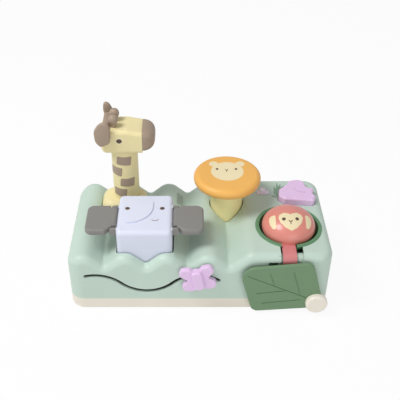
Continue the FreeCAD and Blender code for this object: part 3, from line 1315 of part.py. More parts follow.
barrel = rod("barrel", "x", notch_low_x - wall, hinge_y, hinge_z, barrel_radius,
             notch_high_x - notch_low_x + wall * 2)
barrel_cheek = block("barrel_cheek", (notch_low_x - peek_wall, notch_low_x), (front + wall, peek_back + peek_wall),
                     (hinge_z - barrel_radius, ceiling + wall / 2))
shell_wall_form = cut("shell_wall_form", outer_form, inner_form)
collar = cut("collar", collar_outer, collar_seat, collar_mouth)
inside = overlap("inside", outer_form, join("inside_blank", peek_case, peek_side, collar,
                                            *(guides + shell_posts + board_posts)))
shell_blank = join("shell_blank", shell_wall_form, inside, leaf_boss_out, leaf_boss_in)
shell_with_wells = cut("shell_with_wells", shell_blank, *wells)
shell_with_room = cut("shell_with_room", shell_with_wells, peek_room, arm_notch, arm_way)
shell_with_openings = cut("shell_with_openings", shell_with_room, bowl_hole, bird_hole, power_slot, *slits)
shell_with_track = cut("shell_with_track", shell_with_openings, track, leaf_bore)
shell_cut = cut("shell_cut", shell_with_track, *(post_pilots + board_pilots))
keep(join("shell_body", shell_cut, barrel, barrel_cheek), "shell")


doc.recompute()
for item in doc.Objects:
    if "Invalid" in item.State or "Error" in item.State:
        raise RuntimeError("%s failed" % item.Name)
for label, item in nodes.items():
    if item.Shape.isNull() or not item.Shape.isValid():
        raise RuntimeError("%s has no valid shape" % label)
os.makedirs("parts", exist_ok=True)
for label, item in nodes.items():
    item.Shape.exportStep("parts/%s.step" % label)
    print(label, len(item.Shape.Solids), "solids", round(item.Shape.Volume), "mm3")
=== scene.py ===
import math

import bmesh
import bpy
from mathutils import Matrix, Vector


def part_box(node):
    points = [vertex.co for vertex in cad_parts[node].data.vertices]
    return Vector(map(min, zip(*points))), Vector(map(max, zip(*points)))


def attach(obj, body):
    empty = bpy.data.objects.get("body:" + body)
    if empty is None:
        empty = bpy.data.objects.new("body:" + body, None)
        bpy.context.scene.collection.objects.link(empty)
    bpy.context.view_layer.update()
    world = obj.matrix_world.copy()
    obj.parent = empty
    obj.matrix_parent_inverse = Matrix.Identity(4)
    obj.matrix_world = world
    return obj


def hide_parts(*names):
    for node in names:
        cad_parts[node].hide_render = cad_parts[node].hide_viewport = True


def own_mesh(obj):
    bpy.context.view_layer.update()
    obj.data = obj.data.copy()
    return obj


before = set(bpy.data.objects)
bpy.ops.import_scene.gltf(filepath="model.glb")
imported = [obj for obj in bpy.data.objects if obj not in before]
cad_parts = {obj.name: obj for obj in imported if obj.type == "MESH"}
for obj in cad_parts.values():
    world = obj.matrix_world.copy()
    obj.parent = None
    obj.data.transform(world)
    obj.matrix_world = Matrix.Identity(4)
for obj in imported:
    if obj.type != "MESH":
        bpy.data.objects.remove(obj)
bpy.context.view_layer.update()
MM = 0.001


# Housing: two injection moulded plastic shells, a hilly sage green lid screwed down on a cream tray.
# Both have the fine spark texture of a toy mould, which breaks up the gloss, and a faint cloud in the
# colour where the melt met.
class Signal:
    """A value that runs through a material's nodes, with arithmetic on it."""

    def __init__(self, finish, socket):
        self.finish = finish
        self.socket = socket

    def math(self, operation, first, second):
        return self.finish.node("Math", {"operation": operation}, {0: first, 1: second})

    def __add__(self, other):
        return self.math("ADD", self, other)

    def __radd__(self, other):
        return self.math("ADD", other, self)

    def __sub__(self, other):
        return self.math("SUBTRACT", self, other)

    def __rsub__(self, other):
        return self.math("SUBTRACT", other, self)

    def __mul__(self, other):
        return self.math("MULTIPLY", self, other)

    def __rmul__(self, other):
        return self.math("MULTIPLY", other, self)


class Finish:
    """The nodes of a material, or of another owner such as the room, added one by one."""

    def __init__(self, name, owner=None):
        self.owner = owner or bpy.data.materials.new(name)
        self.owner.use_nodes = True
        self.tree = self.owner.node_tree
        self.tree.nodes.clear()

    def node(self, kind, settings=None, inputs=None, output=0):
        item = self.tree.nodes.new("ShaderNode" + kind)
        for name, value in (settings or {}).items():
            setattr(item, name, value)
        for key, value in (inputs or {}).items():
            if isinstance(value, Signal):
                self.tree.links.new(value.socket, item.inputs[key])
            else:
                item.inputs[key].default_value = value
        return Signal(self, item.outputs[output])

    def blend(self, factor, first, second):
        """A mix of two colours, where a factor of 0 is the first."""
        return self.node("Mix", {"data_type": "RGBA"}, {0: factor, 6: first, 7: second}, 2)

    def surface(self, shader, kind="OutputMaterial"):
        end = self.tree.nodes.new("ShaderNode" + kind)
        self.tree.links.new(shader.socket, end.inputs["Surface"])
        return self.owner


def paint(red, green, blue):
    """A colour as a swatch book writes it, from 0 to 255, made linear."""
    linear = []
    for value in (red, green, blue):
        share = value / 255
        linear.append(share / 12.92 if share <= 0.04045 else ((share + 0.055) / 1.055) ** 2.4)
    return linear


def shade(colour, factor):
    return tuple(min(1.0, value * factor) for value in colour) + (1.0,)


def moulded(name, colour, roughness=0.42, grain=0.18, gloss=0.0, second=None):
    """Moulded plastic: colour, roughness, depth of the mould's texture, a clear gloss and a second colour."""
    finish = Finish(name)
    place = finish.node("TexCoord", output="Object")
    cloud = finish.node("TexNoise", {}, {"Vector": place, "Scale": 22.0, "Detail": 3.0})
    speck = finish.node("TexNoise", {}, {"Vector": place, "Scale": 2200.0, "Detail": 2.0})
    tone = finish.blend(cloud, shade(colour, 0.955), shade(colour, 1.045))
    if second:
        where, other = second
        tone = finish.blend(where(finish, place), tone, shade(other, 1.0))
    relief = finish.node("Bump", {}, {"Strength": grain, "Distance": 0.00006, "Height": speck})
    shader = finish.node("BsdfPrincipled", {}, {
        "Base Color": tone, "Roughness": cloud * 0.1 + speck * 0.08 + (roughness - 0.09), "Normal": relief,
        "Coat Weight": gloss, "Coat Roughness": 0.12, "IOR": 1.46, "Specular IOR Level": 0.45})
    return finish.surface(shader)


def dress(material, *names):
    for name in names:
        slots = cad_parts[name].data.materials
        slots.clear()
        slots.append(material)


SAGE = paint(193, 213, 200)
CREAM = paint(232, 225, 211)
lid_plastic = moulded("lid_plastic", SAGE)
tray_plastic = moulded("tray_plastic", CREAM, roughness=0.46)
dress(lid_plastic, "shell")
dress(tray_plastic, "base", "battery_door")


# Fastenings: zinc plated steel screws, the lion's axle, the butterfly's pin, the washers that hold the
# leaf and the butterfly from inside, and the contact strips of the battery box.
def metal(name, colour, roughness):
    """Bare metal with the fine drawn lines of wire, rod and pressed strip."""
    finish = Finish(name)
    place = finish.node("TexCoord", output="Object")
    brushed = finish.node("TexNoise", {}, {"Vector": place, "Scale": 900.0, "Detail": 2.0})
    tone = finish.blend(brushed, shade(colour, 0.9), shade(colour, 1.08))
    relief = finish.node("Bump", {}, {"Strength": 0.15, "Distance": 0.00004, "Height": brushed})
    shader = finish.node("BsdfPrincipled", {}, {
        "Base Color": tone, "Metallic": 1.0, "Roughness": brushed * 0.15 + roughness, "Normal": relief})
    return finish.surface(shader)


steel = metal("zinc_plated_steel", paint(196, 196, 198), 0.28)
dress(steel, "housing_screws", "battery_door_screw", "board_screws", "lion_axle", "leaf_washer",
      "butterfly_stem", "butterfly_washer", "battery_contacts")


# Springs: a coil of drawn wire under each plunger and under the bird. It stands on the tray or the board
# and pushes the animal up again.
def piece(name, shape, body, material):
    """Turns a finished bmesh into an object that rides on a body."""
    bmesh.ops.recalc_face_normals(shape, faces=shape.faces)
    mesh = bpy.data.meshes.new(name)
    shape.to_mesh(mesh)
    shape.free()
    mesh.materials.append(material)
    mesh.shade_smooth()
    mesh.set_sharp_from_angle(angle=math.radians(40))
    item = bpy.data.objects.new(name, mesh)
    bpy.context.scene.collection.objects.link(item)
    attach(item, body)
    return item


spring_wire = metal("spring_wire", paint(205, 206, 210), 0.22)
WIRE_SIDES = 10
TURN_STEPS = 24
# What each spring is under, the joint that presses it, its wire, its turns and the joint's travel.
SPRINGS = (("giraffe", "giraffe_slide", 1.5, 9, 28.0), ("elephant", "elephant_slide", 1.5, 11, 16.0),
           ("lion", "lion_slide", 1.5, 11, 25.0), ("bird", "bird_press", 1.0, 5, 4.0))
for animal, joint, wire, turns, travel in SPRINGS:
    spring_low, spring_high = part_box(animal + "_spring")
    coil_radius = (spring_high.x - spring_low.x) / 2 - wire / 2 * MM
    rise = spring_high.z - spring_low.z - wire * MM
    coil = bmesh.new()
    section = bmesh.ops.create_circle(coil, segments=WIRE_SIDES, radius=wire / 2 * MM)["verts"]
    bmesh.ops.rotate(coil, verts=section, cent=(0, 0, 0), matrix=Matrix.Rotation(math.radians(90), 3, "X"))
    bmesh.ops.translate(coil, verts=section, vec=(coil_radius, 0, spring_low.z + wire / 2 * MM))
    steps = turns * TURN_STEPS
    bmesh.ops.spin(coil, geom=coil.verts[:] + coil.edges[:], angle=math.radians(360 * turns), steps=steps,
                   axis=(0, 0, 1), cent=(0, 0, 0), dvec=(0, 0, rise / steps), use_merge=False)
    bmesh.ops.holes_fill(coil, edges=[edge for edge in coil.edges if edge.is_boundary], sides=WIRE_SIDES)
    middle = (spring_low + spring_high) / 2
    bmesh.ops.translate(coil, verts=coil.verts[:], vec=(middle.x, middle.y, 0))
    coil_spring = piece(animal + "_coil", coil, "housing", spring_wire)
    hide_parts(animal + "_spring")
    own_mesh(coil_spring)


# Grass: a tuft of raised fern leaves on the lid between the power key and the bird. Their green is a shade
# darker than the lid's: painted shade that stands for the shading of the relief.
def place_on(centre, normal=(0, 0, 1), turn=0.0):
    """A placement in millimetres whose own Z stands along a surface's normal."""
    lean = Vector((0, 0, 1)).rotation_difference(Vector(normal)).to_matrix().to_4x4()
    return Matrix.Translation(Vector(centre) * MM) @ lean @ Matrix.Rotation(math.radians(turn), 4, "Z")


def leaf_blade(shape, start, end, width, height, place):
    """A raised blade with pointed ends and a crowned back, from one point of a surface to another."""
    run = Vector(end) - Vector(start)
    length = run.length * MM
    made = bmesh.ops.create_grid(shape, x_segments=8, y_segments=4, size=0.5)
    for vert in made["verts"]:
        along_blade = vert.co.x * 2
        share = 1 - along_blade * along_blade * 0.95
        crown = 1 - (vert.co.y * 2) ** 2
        vert.co = Vector((vert.co.x * length, vert.co.y * width * MM * share, height * MM * crown * share))
    faces = list({face for vert in made["verts"] for face in vert.link_faces})
    grown = bmesh.ops.extrude_face_region(shape, geom=faces)
    for item in grown["geom"]:
        if isinstance(item, bmesh.types.BMVert):
            item.co.z = -0.3 * MM
    verts = made["verts"] + [item for item in grown["geom"] if isinstance(item, bmesh.types.BMVert)]
    middle = (Vector(start) + Vector(end)) / 2
    turn = math.atan2(run.y, run.x)
    local = Matrix.Translation((middle.x * MM, middle.y * MM, 0)) @ Matrix.Rotation(turn, 4, "Z")
    bmesh.ops.transform(shape, verts=verts, matrix=place @ local)


PLATEAU = 80.0
TUFT = [((97, 34), (89.5, 38.4)), ((97, 35), (93.6, 49)), ((97, 37), (94.5, 58.5)), ((97, 39), (99.5, 66)),
        ((97.5, 43), (103.5, 63)), ((98, 46), (107.5, 59)), ((97, 36), (98.5, 50))]
BLADE_WIDTH = 3.0
BLADE_HEIGHT = 1.1
# Painted shade: the blades are darker than the lid to stand for the shading of the relief.
fern_shade_green = moulded("fern_shade_green", paint(140, 168, 148), roughness=0.5, grain=0.3)
tuft = bmesh.new()
for start, end in TUFT:
    leaf_blade(tuft, start, end, BLADE_WIDTH, BLADE_HEIGHT, place_on((0, 0, PLATEAU)))
piece("grass_tuft", tuft, "housing", fern_shade_green)


# Screws: six self tapping screws from below and one in the battery door, with cross recesses in their heads.
# The dark crosses laid on the heads are painted shade for the shadow at the bottom of the recesses.
def cross_recess(shape, centre, reach):
    """Two low crossed bars in a head that faces down, one a hair higher so that they don't share a face."""
    for turn in (0, 90):
        made = bmesh.ops.create_grid(shape, x_segments=1, y_segments=1, size=0.5)
        scale = Matrix.Diagonal((reach * 2 * MM, reach * 0.45 * MM, 1, 1))
        rise = (0.08 + turn / 3000) * MM
        faces = {face for vert in made["verts"] for face in vert.link_faces}
        grown = bmesh.ops.extrude_face_region(shape, geom=list(faces))
        top = [item for item in grown["geom"] if isinstance(item, bmesh.types.BMVert)]
        bmesh.ops.translate(shape, verts=top, vec=(0, 0, rise))
        bar = place_on(centre, (0, 0, -1), turn) @ scale
        bmesh.ops.transform(shape, verts=made["verts"] + top, matrix=bar)


SCREW_FACE = 6.0
RECESS_REACH = 1.9
# Painted shade: dark crosses that stand for the shadow inside each screw's cross recess.
recess_shadow = metal("recess_shadow", paint(58, 58, 60), 0.6)
recesses = bmesh.new()
for x, y in ((-138, -58), (-138, 58), (138, -42), (138, 58), (-6, -22), (5, 62)):
    cross_recess(recesses, (x, y, SCREW_FACE), RECESS_REACH)
door_low, door_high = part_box("battery_door_screw")
door_middle = (door_low + door_high) / 2 / MM
cross_recess(recesses, (door_middle.x, door_middle.y, door_low.z / MM), RECESS_REACH)
piece("screw_recess_shade", recesses, "housing", recess_shadow)


# Electronics: a laminate board under the lid with a rubber dome, a slide switch and a paper cone speaker,
# and three cells in dark wraps. The dark strips that lie just below the skin in the lid's eight slits are
# painted shade: they stand for the dark inside of the slits.
board_green = moulded("board_green", paint(54, 100, 70), roughness=0.35)
dress(board_green, "circuit_board")
dome_rubber = moulded("dome_rubber", paint(96, 96, 98), roughness=0.65, grain=0.3)
dress(dome_rubber, "button_switch")
switch_black = moulded("switch_black", paint(38, 38, 40), roughness=0.3)
dress(switch_black, "power_switch")
# The same dark plastic also colours the painted shade strips in the lid's slits.
speaker_and_slit_shade_black = moulded("speaker_and_slit_shade_black", paint(52, 52, 54), roughness=0.6, grain=0.4)
dress(speaker_and_slit_shade_black, "speaker")
cell_wrap = moulded("cell_wrap", paint(72, 74, 80), roughness=0.25)
dress(cell_wrap, "batteries")


def flat_form(shape, points, low_y, thickness, corner, edge):
    """A thick plate standing in X and Z, with rounded corners and softened rims."""
    before = set(shape.faces)
    outline = [shape.verts.new((x * MM, low_y * MM, z * MM)) for x, z in points]
    grown = bmesh.ops.extrude_face_region(shape, geom=[shape.faces.new(outline)])
    bmesh.ops.translate(shape, verts=[item for item in grown["geom"] if isinstance(item, bmesh.types.BMVert)],
                        vec=(0, thickness * MM, 0))
    made = {line for face in set(shape.faces) - before for line in face.edges}
    sides = [line for line in made if abs(line.verts[0].co.y - line.verts[1].co.y) > thickness * 0.9 * MM]
    bmesh.ops.bevel(shape, geom=sides, offset=corner * MM, segments=6, profile=0.5, affect="EDGES",
                    material=-1)
    made = {line for face in set(shape.faces) - before for line in face.edges}
    rims = [line for line in made if line.calc_face_angle(0) > math.radians(60)]
    bmesh.ops.bevel(shape, geom=rims, offset=edge * MM, segments=4, profile=0.5, affect="EDGES", material=-1)


# Painted shade: a thin dark strip under each slit of the lid, so that the slits read dark.
SLIT_COUNT = 8
SLIT_FIRST = 34.3
SLIT_PITCH = 2.9
SLIT_WIDTH = 1.44
SLIT_SHADE_OUTLINE = [(-26.9, 68.9), (-19.1, 62.2), (-19.1, 64.9), (-26.9, 71.6)]
slit_shade_plates = bmesh.new()
for number in range(SLIT_COUNT):
    strip_low = SLIT_FIRST + SLIT_PITCH * number - SLIT_WIDTH / 2
    flat_form(slit_shade_plates, SLIT_SHADE_OUTLINE, strip_low, SLIT_WIDTH, corner=0.2, edge=0.05)
piece("painted_slit_shade", slit_shade_plates, "housing", speaker_and_slit_shade_black)


# Giraffe: a pale yellow plunger and neck with brown patches let into it and a yellow head on top. Both
# are moulded plastic, and the brown parts are a little rougher.
YELLOW = paint(236, 223, 171)
BROWN = paint(165, 146, 128)
giraffe_yellow = moulded("giraffe_yellow", YELLOW, roughness=0.4)
giraffe_brown = moulded("giraffe_brown", BROWN, roughness=0.48, grain=0.3)
dress(giraffe_yellow, "giraffe_body", "giraffe_head")
dress(giraffe_brown, "giraffe_spots", "giraffe_muzzle", "giraffe_crown")


# Crown: the giraffe's two ears and two ball ended horns, one soft moulding on a band over the back of the
# head. It is made here with round rims, in the place of the solid's plainer crown.
NEAR_EAR = [(-112.8, 163.6), (-101.6, 168.8), (-100.6, 180), (-101.2, 192.2), (-106.5, 196.2),
            (-113.5, 193.4), (-119.4, 184.5), (-118.6, 171)]
FAR_EAR = [(-110.4, 178), (-100.4, 178), (-100.2, 187.5), (-105.4, 197.6), (-111, 198.4), (-112.4, 190)]
BAND = [(-111, 178), (-102.6, 178), (-102.6, 186.4), (-111, 186.4)]
EAR_THICKNESS = 5.0
HORN = [(0, -4), (3.4, -4), (3.2, 3.5), (4.6, 5.2), (5.8, 7.8), (5.7, 10.6), (4.3, 13.4), (2.2, 14.7),
        (0, 15.1)]
HORN_PLACES = ((-98.2, 33.0), (-98.0, 48.0))
head_low, head_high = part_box("giraffe_head")
crown = bmesh.new()
flat_form(crown, NEAR_EAR, head_low.y / MM - EAR_THICKNESS, EAR_THICKNESS, corner=3.2, edge=1.8)
flat_form(crown, FAR_EAR, head_high.y / MM - 0.2, EAR_THICKNESS, corner=2.7, edge=1.8)
flat_form(crown, BAND, head_low.y / MM - 4.0, (head_high.y - head_low.y) / MM + 7.5, corner=2.6, edge=1.5)
for x, y in HORN_PLACES:
    profile = [crown.verts.new((radius * MM, 0, rise * MM)) for radius, rise in HORN]
    lines = [crown.edges.new(pair) for pair in zip(profile, profile[1:])]
    before = set(crown.faces)
    bmesh.ops.spin(crown, geom=profile + lines, angle=math.radians(360), steps=32, axis=(0, 0, 1),
                   cent=(0, 0, 0), use_merge=True)
    horn = list({vert for face in set(crown.faces) - before for vert in face.verts})
    bmesh.ops.remove_doubles(crown, verts=horn, dist=0.00001)
    horn = list({vert for face in set(crown.faces) - before if face.is_valid for vert in face.verts})
    bmesh.ops.translate(crown, verts=horn, vec=(x * MM, y * MM, head_high.z))
soft_crown = piece("soft_crown", crown, "giraffe_plunger", giraffe_brown)
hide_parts("giraffe_crown")


# Muzzle: a brown cap snapped on the front of the yellow head. It starts as a rounded square and closes in
# steps to a full nose, which is squarer across than from top to bottom.
MUZZLE_REACH = 14.6
MUZZLE_STEPS = 12
SQUARENESS = 5
NOSE_SWEEP = 90 * 0.97
SIDE_FULLNESS = 0.45
TOP_FULLNESS = 0.8
muzzle_low, muzzle_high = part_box("giraffe_muzzle")
muzzle_cap = bmesh.new()
ring = bmesh.ops.create_circle(muzzle_cap, cap_ends=True, segments=72, radius=1.0)["verts"]
for vert in ring:
    reach = (abs(vert.co.x) ** SQUARENESS + abs(vert.co.y) ** SQUARENESS) ** (-1 / SQUARENESS)
    vert.co *= reach
cap_middle = (muzzle_low + muzzle_high) / 2
cap_middle.x = muzzle_low.x
cap_middle.z += 1.4 * MM
cap_half = (muzzle_high - muzzle_low) / 2
cap_half.z -= 0.2 * MM
stand_up = Matrix(((0, 0, 1, cap_middle.x), (cap_half.y, 0, 0, cap_middle.y),
                   (0, cap_half.z, 0, cap_middle.z), (0, 0, 0, 1)))
bmesh.ops.transform(muzzle_cap, verts=ring, matrix=stand_up)
front_face = muzzle_cap.faces[:]
for step in range(1, MUZZLE_STEPS + 1):
    angle = math.radians(NOSE_SWEEP * step / MUZZLE_STEPS)
    last = math.radians(NOSE_SWEEP * (step - 1) / MUZZLE_STEPS)
    grown = bmesh.ops.extrude_discrete_faces(muzzle_cap, faces=front_face)
    front_face = grown["faces"]
    tip = [vert for face in front_face for vert in face.verts]
    width = (math.cos(angle) / math.cos(last)) ** SIDE_FULLNESS
    height = (math.cos(angle) / math.cos(last)) ** TOP_FULLNESS
    middle = Vector((tip[0].co.x, cap_middle.y, cap_middle.z))
    bmesh.ops.scale(muzzle_cap, verts=tip, vec=(1, width, height), space=Matrix.Translation(-middle))
    advance = MUZZLE_REACH * MM * (math.sin(angle) - math.sin(last))
    bmesh.ops.translate(muzzle_cap, verts=tip, vec=(advance, 0, 0))
nose = piece("muzzle_cap", muzzle_cap, "giraffe_plunger", giraffe_brown)
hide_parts("giraffe_muzzle")


# Eyes of the giraffe: a dark oval with a pale ring round it, pad printed on each side of the head. The
# ring's ink is thinner, so the eye stands in front of it.
PRINT = 0.18
eye_ink = moulded("eye_ink", paint(92, 72, 60), roughness=0.34, grain=0.05)
ring_ink = moulded("ring_ink", paint(244, 236, 196), roughness=0.4, grain=0.05)


def flat_top(edges, top):
    return [edge for edge in edges if all(abs(vert.co.z - top) < 1e-7 for vert in edge.verts)]


def oval(shape, place, width, height, thickness=PRINT):
    """A printed oval: a low disc with a soft shoulder."""
    made = bmesh.ops.create_cone(shape, cap_ends=True, segments=40, radius1=0.5 * MM, radius2=0.5 * MM,
                                 depth=thickness * 2 * MM)
    edges = flat_top({edge for vert in made["verts"] for edge in vert.link_edges}, thickness * MM)
    verts = set(made["verts"])
    shoulder = bmesh.ops.bevel(shape, geom=edges, offset=0.08 * MM, segments=2, profile=0.5, affect="EDGES",
                               material=-1)
    verts = {vert for vert in verts if vert.is_valid} | set(shoulder["verts"])
    bmesh.ops.transform(shape, verts=list(verts), matrix=place @ Matrix.Diagonal((width, height, 1, 1)))


GIRAFFE_EYE = (-91.6, 169.7)
giraffe_eyes = bmesh.new()
eye_rings = bmesh.new()
for side_y, normal in ((head_low.y / MM, (0, -1, 0)), (head_high.y / MM, (0, 1, 0))):
    eye_place = place_on((GIRAFFE_EYE[0], side_y, GIRAFFE_EYE[1]), normal)
    oval(giraffe_eyes, eye_place, 6.6, 5.9)
    oval(eye_rings, eye_place, 8.4, 7.6, PRINT * 0.5)
piece("giraffe_eyes", giraffe_eyes, "giraffe_plunger", eye_ink)
piece("giraffe_eye_rings", eye_rings, "giraffe_plunger", ring_ink)


# Elephant: a pale blue lilac block with its trunk raised on top and grey ears on pins. The lugs that hold
# the ears are grey too, and eyes and smile are pad printed.
LILAC_BLUE = paint(219, 223, 240)
EAR_GREY = paint(134, 132, 129)
HEAD_HALF = 31.4


def at_ear_roots(finish, place):
    """True beside the head, where its two pairs of hinge lugs are moulded in the ears' grey."""
    across = finish.node("SeparateXYZ", {}, {"Vector": place}, 0)
    spring_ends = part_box("elephant_spring")
    middle = (spring_ends[0].x + spring_ends[1].x) / 2
    on_head = finish.node("Math", {"operation": "COMPARE"}, {0: across, 1: middle, 2: HEAD_HALF * MM})
    return on_head * -1 + 1


elephant_plastic = moulded("elephant_plastic", LILAC_BLUE, roughness=0.4, second=(at_ear_roots, EAR_GREY))
ear_plastic = moulded("ear_plastic", EAR_GREY, roughness=0.5, grain=0.3)
dress(elephant_plastic, "elephant_head")
dress(ear_plastic, "ear_left", "ear_right", "ear_pins")


def upright(edge):
    return abs((edge.verts[0].co - edge.verts[1].co).normalized().z) > 0.99


def raise_print(shape, faces, thickness, width):
    """Gives a flat printed shape its thickness and rounds its corners."""
    grown = bmesh.ops.extrude_face_region(shape, geom=list(faces))
    verts = [item for item in grown["geom"] if isinstance(item, bmesh.types.BMVert)]
    bmesh.ops.translate(shape, verts=verts, vec=(0, 0, thickness * MM))
    ends = [edge for edge in {edge for vert in verts for edge in vert.link_edges}
            if upright(edge) and len(edge.link_faces) == 2
            and edge.calc_face_angle(0) > math.radians(45)]
    bmesh.ops.bevel(shape, geom=ends, offset=width * 0.45 * MM, segments=4, profile=0.5, affect="EDGES",
                    material=-1)


def arc_line(shape, place, radius, start, sweep, width, thickness=PRINT):
    """A printed line along an arc, with rounded ends, its angles in degrees."""
    low = shape.verts.new(((radius - width / 2) * MM, 0, 0))
    high = shape.verts.new(((radius + width / 2) * MM, 0, 0))
    first = shape.edges.new((low, high))
    steps = max(6, int(abs(sweep) / 8))
    before = set(shape.faces)
    bmesh.ops.spin(shape, geom=[low, high, first], angle=math.radians(sweep), steps=steps, axis=(0, 0, 1),
                   cent=(0, 0, 0), use_merge=False)
    raise_print(shape, set(shape.faces) - before, thickness, width)
    made = {vert for face in set(shape.faces) - before for vert in face.verts}
    bmesh.ops.transform(shape, verts=list(made), matrix=place @ Matrix.Rotation(math.radians(start), 4, "Z"))


ELEPHANT_TOP = 104.5
ELEPHANT_EYES = ((-82.5, -19.4), (-42.5, -19.4))
SMILE_CENTRE = (-50.4, -37.6)
elephant_eyes = bmesh.new()
for x, y in ELEPHANT_EYES:
    oval(elephant_eyes, place_on((x, y, ELEPHANT_TOP)), 5.6, 5.2)
piece("elephant_eyes", elephant_eyes, "elephant_plunger", eye_ink)
line_ink = moulded("line_ink", paint(120, 98, 82), roughness=0.4, grain=0.05)
elephant_smile = bmesh.new()
smile_place = place_on((*SMILE_CENTRE, ELEPHANT_TOP))
arc_line(elephant_smile, smile_place, radius=4.4, start=215, sweep=125, width=0.7)
piece("elephant_smile", elephant_smile, "elephant_plunger", line_ink)


# Lion: a pale yellow plunger under a thick orange mane disc, with a cream face let into it. Eyes, nose and
# mouth are pad printed.
ORANGE = paint(240, 182, 95)
FACE_CREAM = paint(238, 223, 182)
lion_yellow = moulded("lion_yellow", paint(252, 238, 176), roughness=0.42)
mane_orange = moulded("mane_orange", ORANGE, roughness=0.42)
face_cream = moulded("face_cream", FACE_CREAM, roughness=0.46)
dress(lion_yellow, "lion_body")
dress(mane_orange, "lion_mane")
dress(face_cream, "lion_face")


def straight_line(shape, place, start, end, width, thickness=PRINT):
    """A printed straight line with rounded ends."""
    run = Vector(end) - Vector(start)
    before = set(shape.faces)
    made = bmesh.ops.create_grid(shape, x_segments=1, y_segments=1, size=0.5)
    scale = Matrix.Diagonal((run.length * MM, width * MM, 1, 1))
    bmesh.ops.transform(shape, verts=made["verts"], matrix=scale)
    raise_print(shape, set(shape.faces) - before, thickness, width)
    made = {vert for face in set(shape.faces) - before for vert in face.verts}
    middle = (Vector(start) + Vector(end)) / 2
    turn = Matrix.Rotation(math.atan2(run.y, run.x), 4, "Z")
    local = Matrix.Translation((middle.x * MM, middle.y * MM, 0)) @ turn
    bmesh.ops.transform(shape, verts=list(made), matrix=place @ local)


def snout_print(shape, place, reach, drop, thickness):
    """A nose and mouth: two strokes that meet and one down from there, each a hair lower than the last."""
    straight_line(shape, place, (-reach, 2.2), (0, 0), STROKE, PRINT * thickness)
    straight_line(shape, place, (reach, 2.2), (0, 0), STROKE, PRINT * (thickness - 0.1))
    straight_line(shape, place, (0, 0.3), (0, -drop), STROKE, PRINT * (thickness - 0.2))


STROKE = 0.8
LION_EYES = ((21.9, 37.1), (44.5, 37.1))
LION_SNOUT = (33.2, 34.2)
mane_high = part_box("lion_mane")[1].z / MM
lion_print = bmesh.new()
for x, y in LION_EYES:
    oval(lion_print, place_on((x, y, mane_high)), 3.2, 3.6)
snout_print(lion_print, place_on((*LION_SNOUT, mane_high)), reach=1.7, drop=3.0, thickness=1.0)
piece("lion_print", lion_print, "lion_disc", eye_ink)


# Monkey: a coral dome in a leaf green bowl, on a pink clip arm. The heart face and the ears are let in, and
# the eyes, nose and mouth are pad printed.
CORAL = paint(224, 140, 128)
monkey_coral = moulded("monkey_coral", CORAL, roughness=0.34, gloss=0.35)
arm_pink = moulded("arm_pink", paint(214, 132, 132), roughness=0.4)
bowl_green = moulded("bowl_green", paint(98, 143, 105), roughness=0.42)
dress(monkey_coral, "monkey_dome")
dress(face_cream, "monkey_face", "monkey_ears")
dress(arm_pink, "monkey_arm")
dress(bowl_green, "monkey_bowl")
DOME_CENTRE = Vector((104.0, -21.8, 81.0))
DOME_RADII = Vector((31.25, 31.25, 20.75))


def on_dome(x, y, turn=0.0):
    """The placement on the dome's skin above a point given in plan."""
    across = ((x - DOME_CENTRE.x) / DOME_RADII.x, (y - DOME_CENTRE.y) / DOME_RADII.y)
    rise = math.sqrt(1 - across[0] ** 2 - across[1] ** 2)
    point = (x, y, DOME_CENTRE.z + DOME_RADII.z * rise)
    normal = Vector((across[0] / DOME_RADII.x, across[1] / DOME_RADII.y, rise / DOME_RADII.z)).normalized()
    return place_on(point, normal, turn)


MONKEY_EYES = ((95.9, -32.8), (110.9, -32.8))
MONKEY_SNOUT = (103.3, -37.2)
monkey_print = bmesh.new()
for x, y in MONKEY_EYES:
    oval(monkey_print, on_dome(x, y), 4.2, 4.4)
snout_print(monkey_print, on_dome(*MONKEY_SNOUT), reach=2.2, drop=3.2, thickness=1.5)
piece("monkey_print", monkey_print, "monkey_lid", eye_ink)


# Leaf: a flat leaf green flap of moulded plastic with engraved veins. It swings on the pin of the round
# cream knob that holds it to the lid's front.
leaf_plastic = moulded("leaf_plastic", paint(112, 143, 108), roughness=0.44, grain=0.3)
knob_plastic = moulded("knob_plastic", paint(240, 232, 219), roughness=0.4)
dress(leaf_plastic, "leaf")
dress(knob_plastic, "leaf_knob")


# Butterfly and bird: both of the same lilac plastic, a little glossier than the rest. The butterfly turns
# on a pin that runs in the wavy slot, and the bird is a push button.
LILAC = paint(230, 199, 235)
lilac_plastic = moulded("lilac_plastic", LILAC, roughness=0.38)
dress(lilac_plastic, "butterfly", "bird_button")


# Power key: a small pale lilac key that slides in the lid beside the grass. It is polished smooth, with a
# clear gloss.
key_gloss = moulded("key_gloss", paint(234, 222, 238), roughness=0.22, grain=0.05, gloss=0.6)
dress(key_gloss, "power_slider")


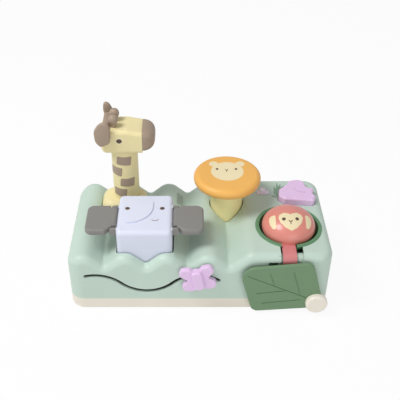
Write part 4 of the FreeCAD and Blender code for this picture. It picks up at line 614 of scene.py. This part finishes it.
# Studio: a pale floor that fades into a white room, a large soft lamp at the upper left and a weaker one
# low in front, with the camera where the photograph was taken. The floor lies a hair under the toy, and
# is clear from below so that the underside can be seen.
FLOOR_SIZE = 6.0
FLOOR_DROP = 0.4
floor_shape = bmesh.new()
bmesh.ops.create_grid(floor_shape, x_segments=1, y_segments=1, size=FLOOR_SIZE)
bmesh.ops.translate(floor_shape, verts=floor_shape.verts[:], vec=(0, 0, -FLOOR_DROP * MM))
floor_mesh = bpy.data.meshes.new("floor")
floor_shape.to_mesh(floor_mesh)
floor_shape.free()
floor = bpy.data.objects.new("floor", floor_mesh)
bpy.context.scene.collection.objects.link(floor)
floor_finish = Finish("floor_white")
ray = floor_finish.node("LightPath", output="Is Camera Ray")
ray_gloss = floor_finish.node("LightPath", output="Is Glossy Ray")
white_paper = floor_finish.node("BsdfDiffuse", {}, {"Color": (0.86, 0.86, 0.86, 1)})
white_glow = floor_finish.node("Emission", {}, {"Color": (1, 1, 1, 1), "Strength": 1.0})
glow_share = ray * 0.92 + ray_gloss * 0.5
paper_front = floor_finish.node("MixShader", {}, {0: glow_share, 1: white_paper, 2: white_glow})
from_below = floor_finish.node("NewGeometry", output="Backfacing")
clear = floor_finish.node("BsdfTransparent")
paper = floor_finish.node("MixShader", {}, {0: from_below, 1: paper_front, 2: clear})
floor_mesh.materials.append(floor_finish.surface(paper))

room = Finish("white_room", bpy.data.worlds.new("white_room"))
room_seen = room.node("Background", {}, {"Color": (1, 1, 1, 1), "Strength": 1.0})
room_light = room.node("Background", {}, {"Color": (1, 1, 1, 1), "Strength": 0.48})
room_ray = room.node("LightPath", output="Is Camera Ray")
room_mix = room.node("MixShader", {}, {0: room_ray, 1: room_light, 2: room_seen})
bpy.context.scene.world = room.surface(room_mix, "OutputWorld")


def lamp(name, place, target, size, power):
    data = bpy.data.lights.new(name, "AREA")
    data.shape = "DISK"
    data.size = size
    data.energy = power
    item = bpy.data.objects.new(name, data)
    item.location = place
    item.rotation_euler = (Vector(target) - Vector(place)).to_track_quat("-Z", "Y").to_euler()
    bpy.context.scene.collection.objects.link(item)


MIDDLE = (0, 0, 0.06)
lamp("key_lamp", (-0.75, -0.25, 1.3), MIDDLE, 0.6, 12.8)
lamp("fill_lamp", (0.4, -1.25, 0.45), MIDDLE, 1.0, 3.3)

camera_data = bpy.data.cameras.new("camera")
camera_data.sensor_width = 36.0
camera_data.lens = 63.0
camera_data.shift_x = 0.0325
camera_data.clip_start = 0.01
camera = bpy.data.objects.new("camera", camera_data)
camera.location = (-0.0142, -0.6551, 0.5956)
camera.rotation_euler = (math.radians(53), 0, 0)
bpy.context.scene.collection.objects.link(camera)
bpy.context.scene.camera = camera
bpy.context.scene.view_settings.view_transform = "Standard"
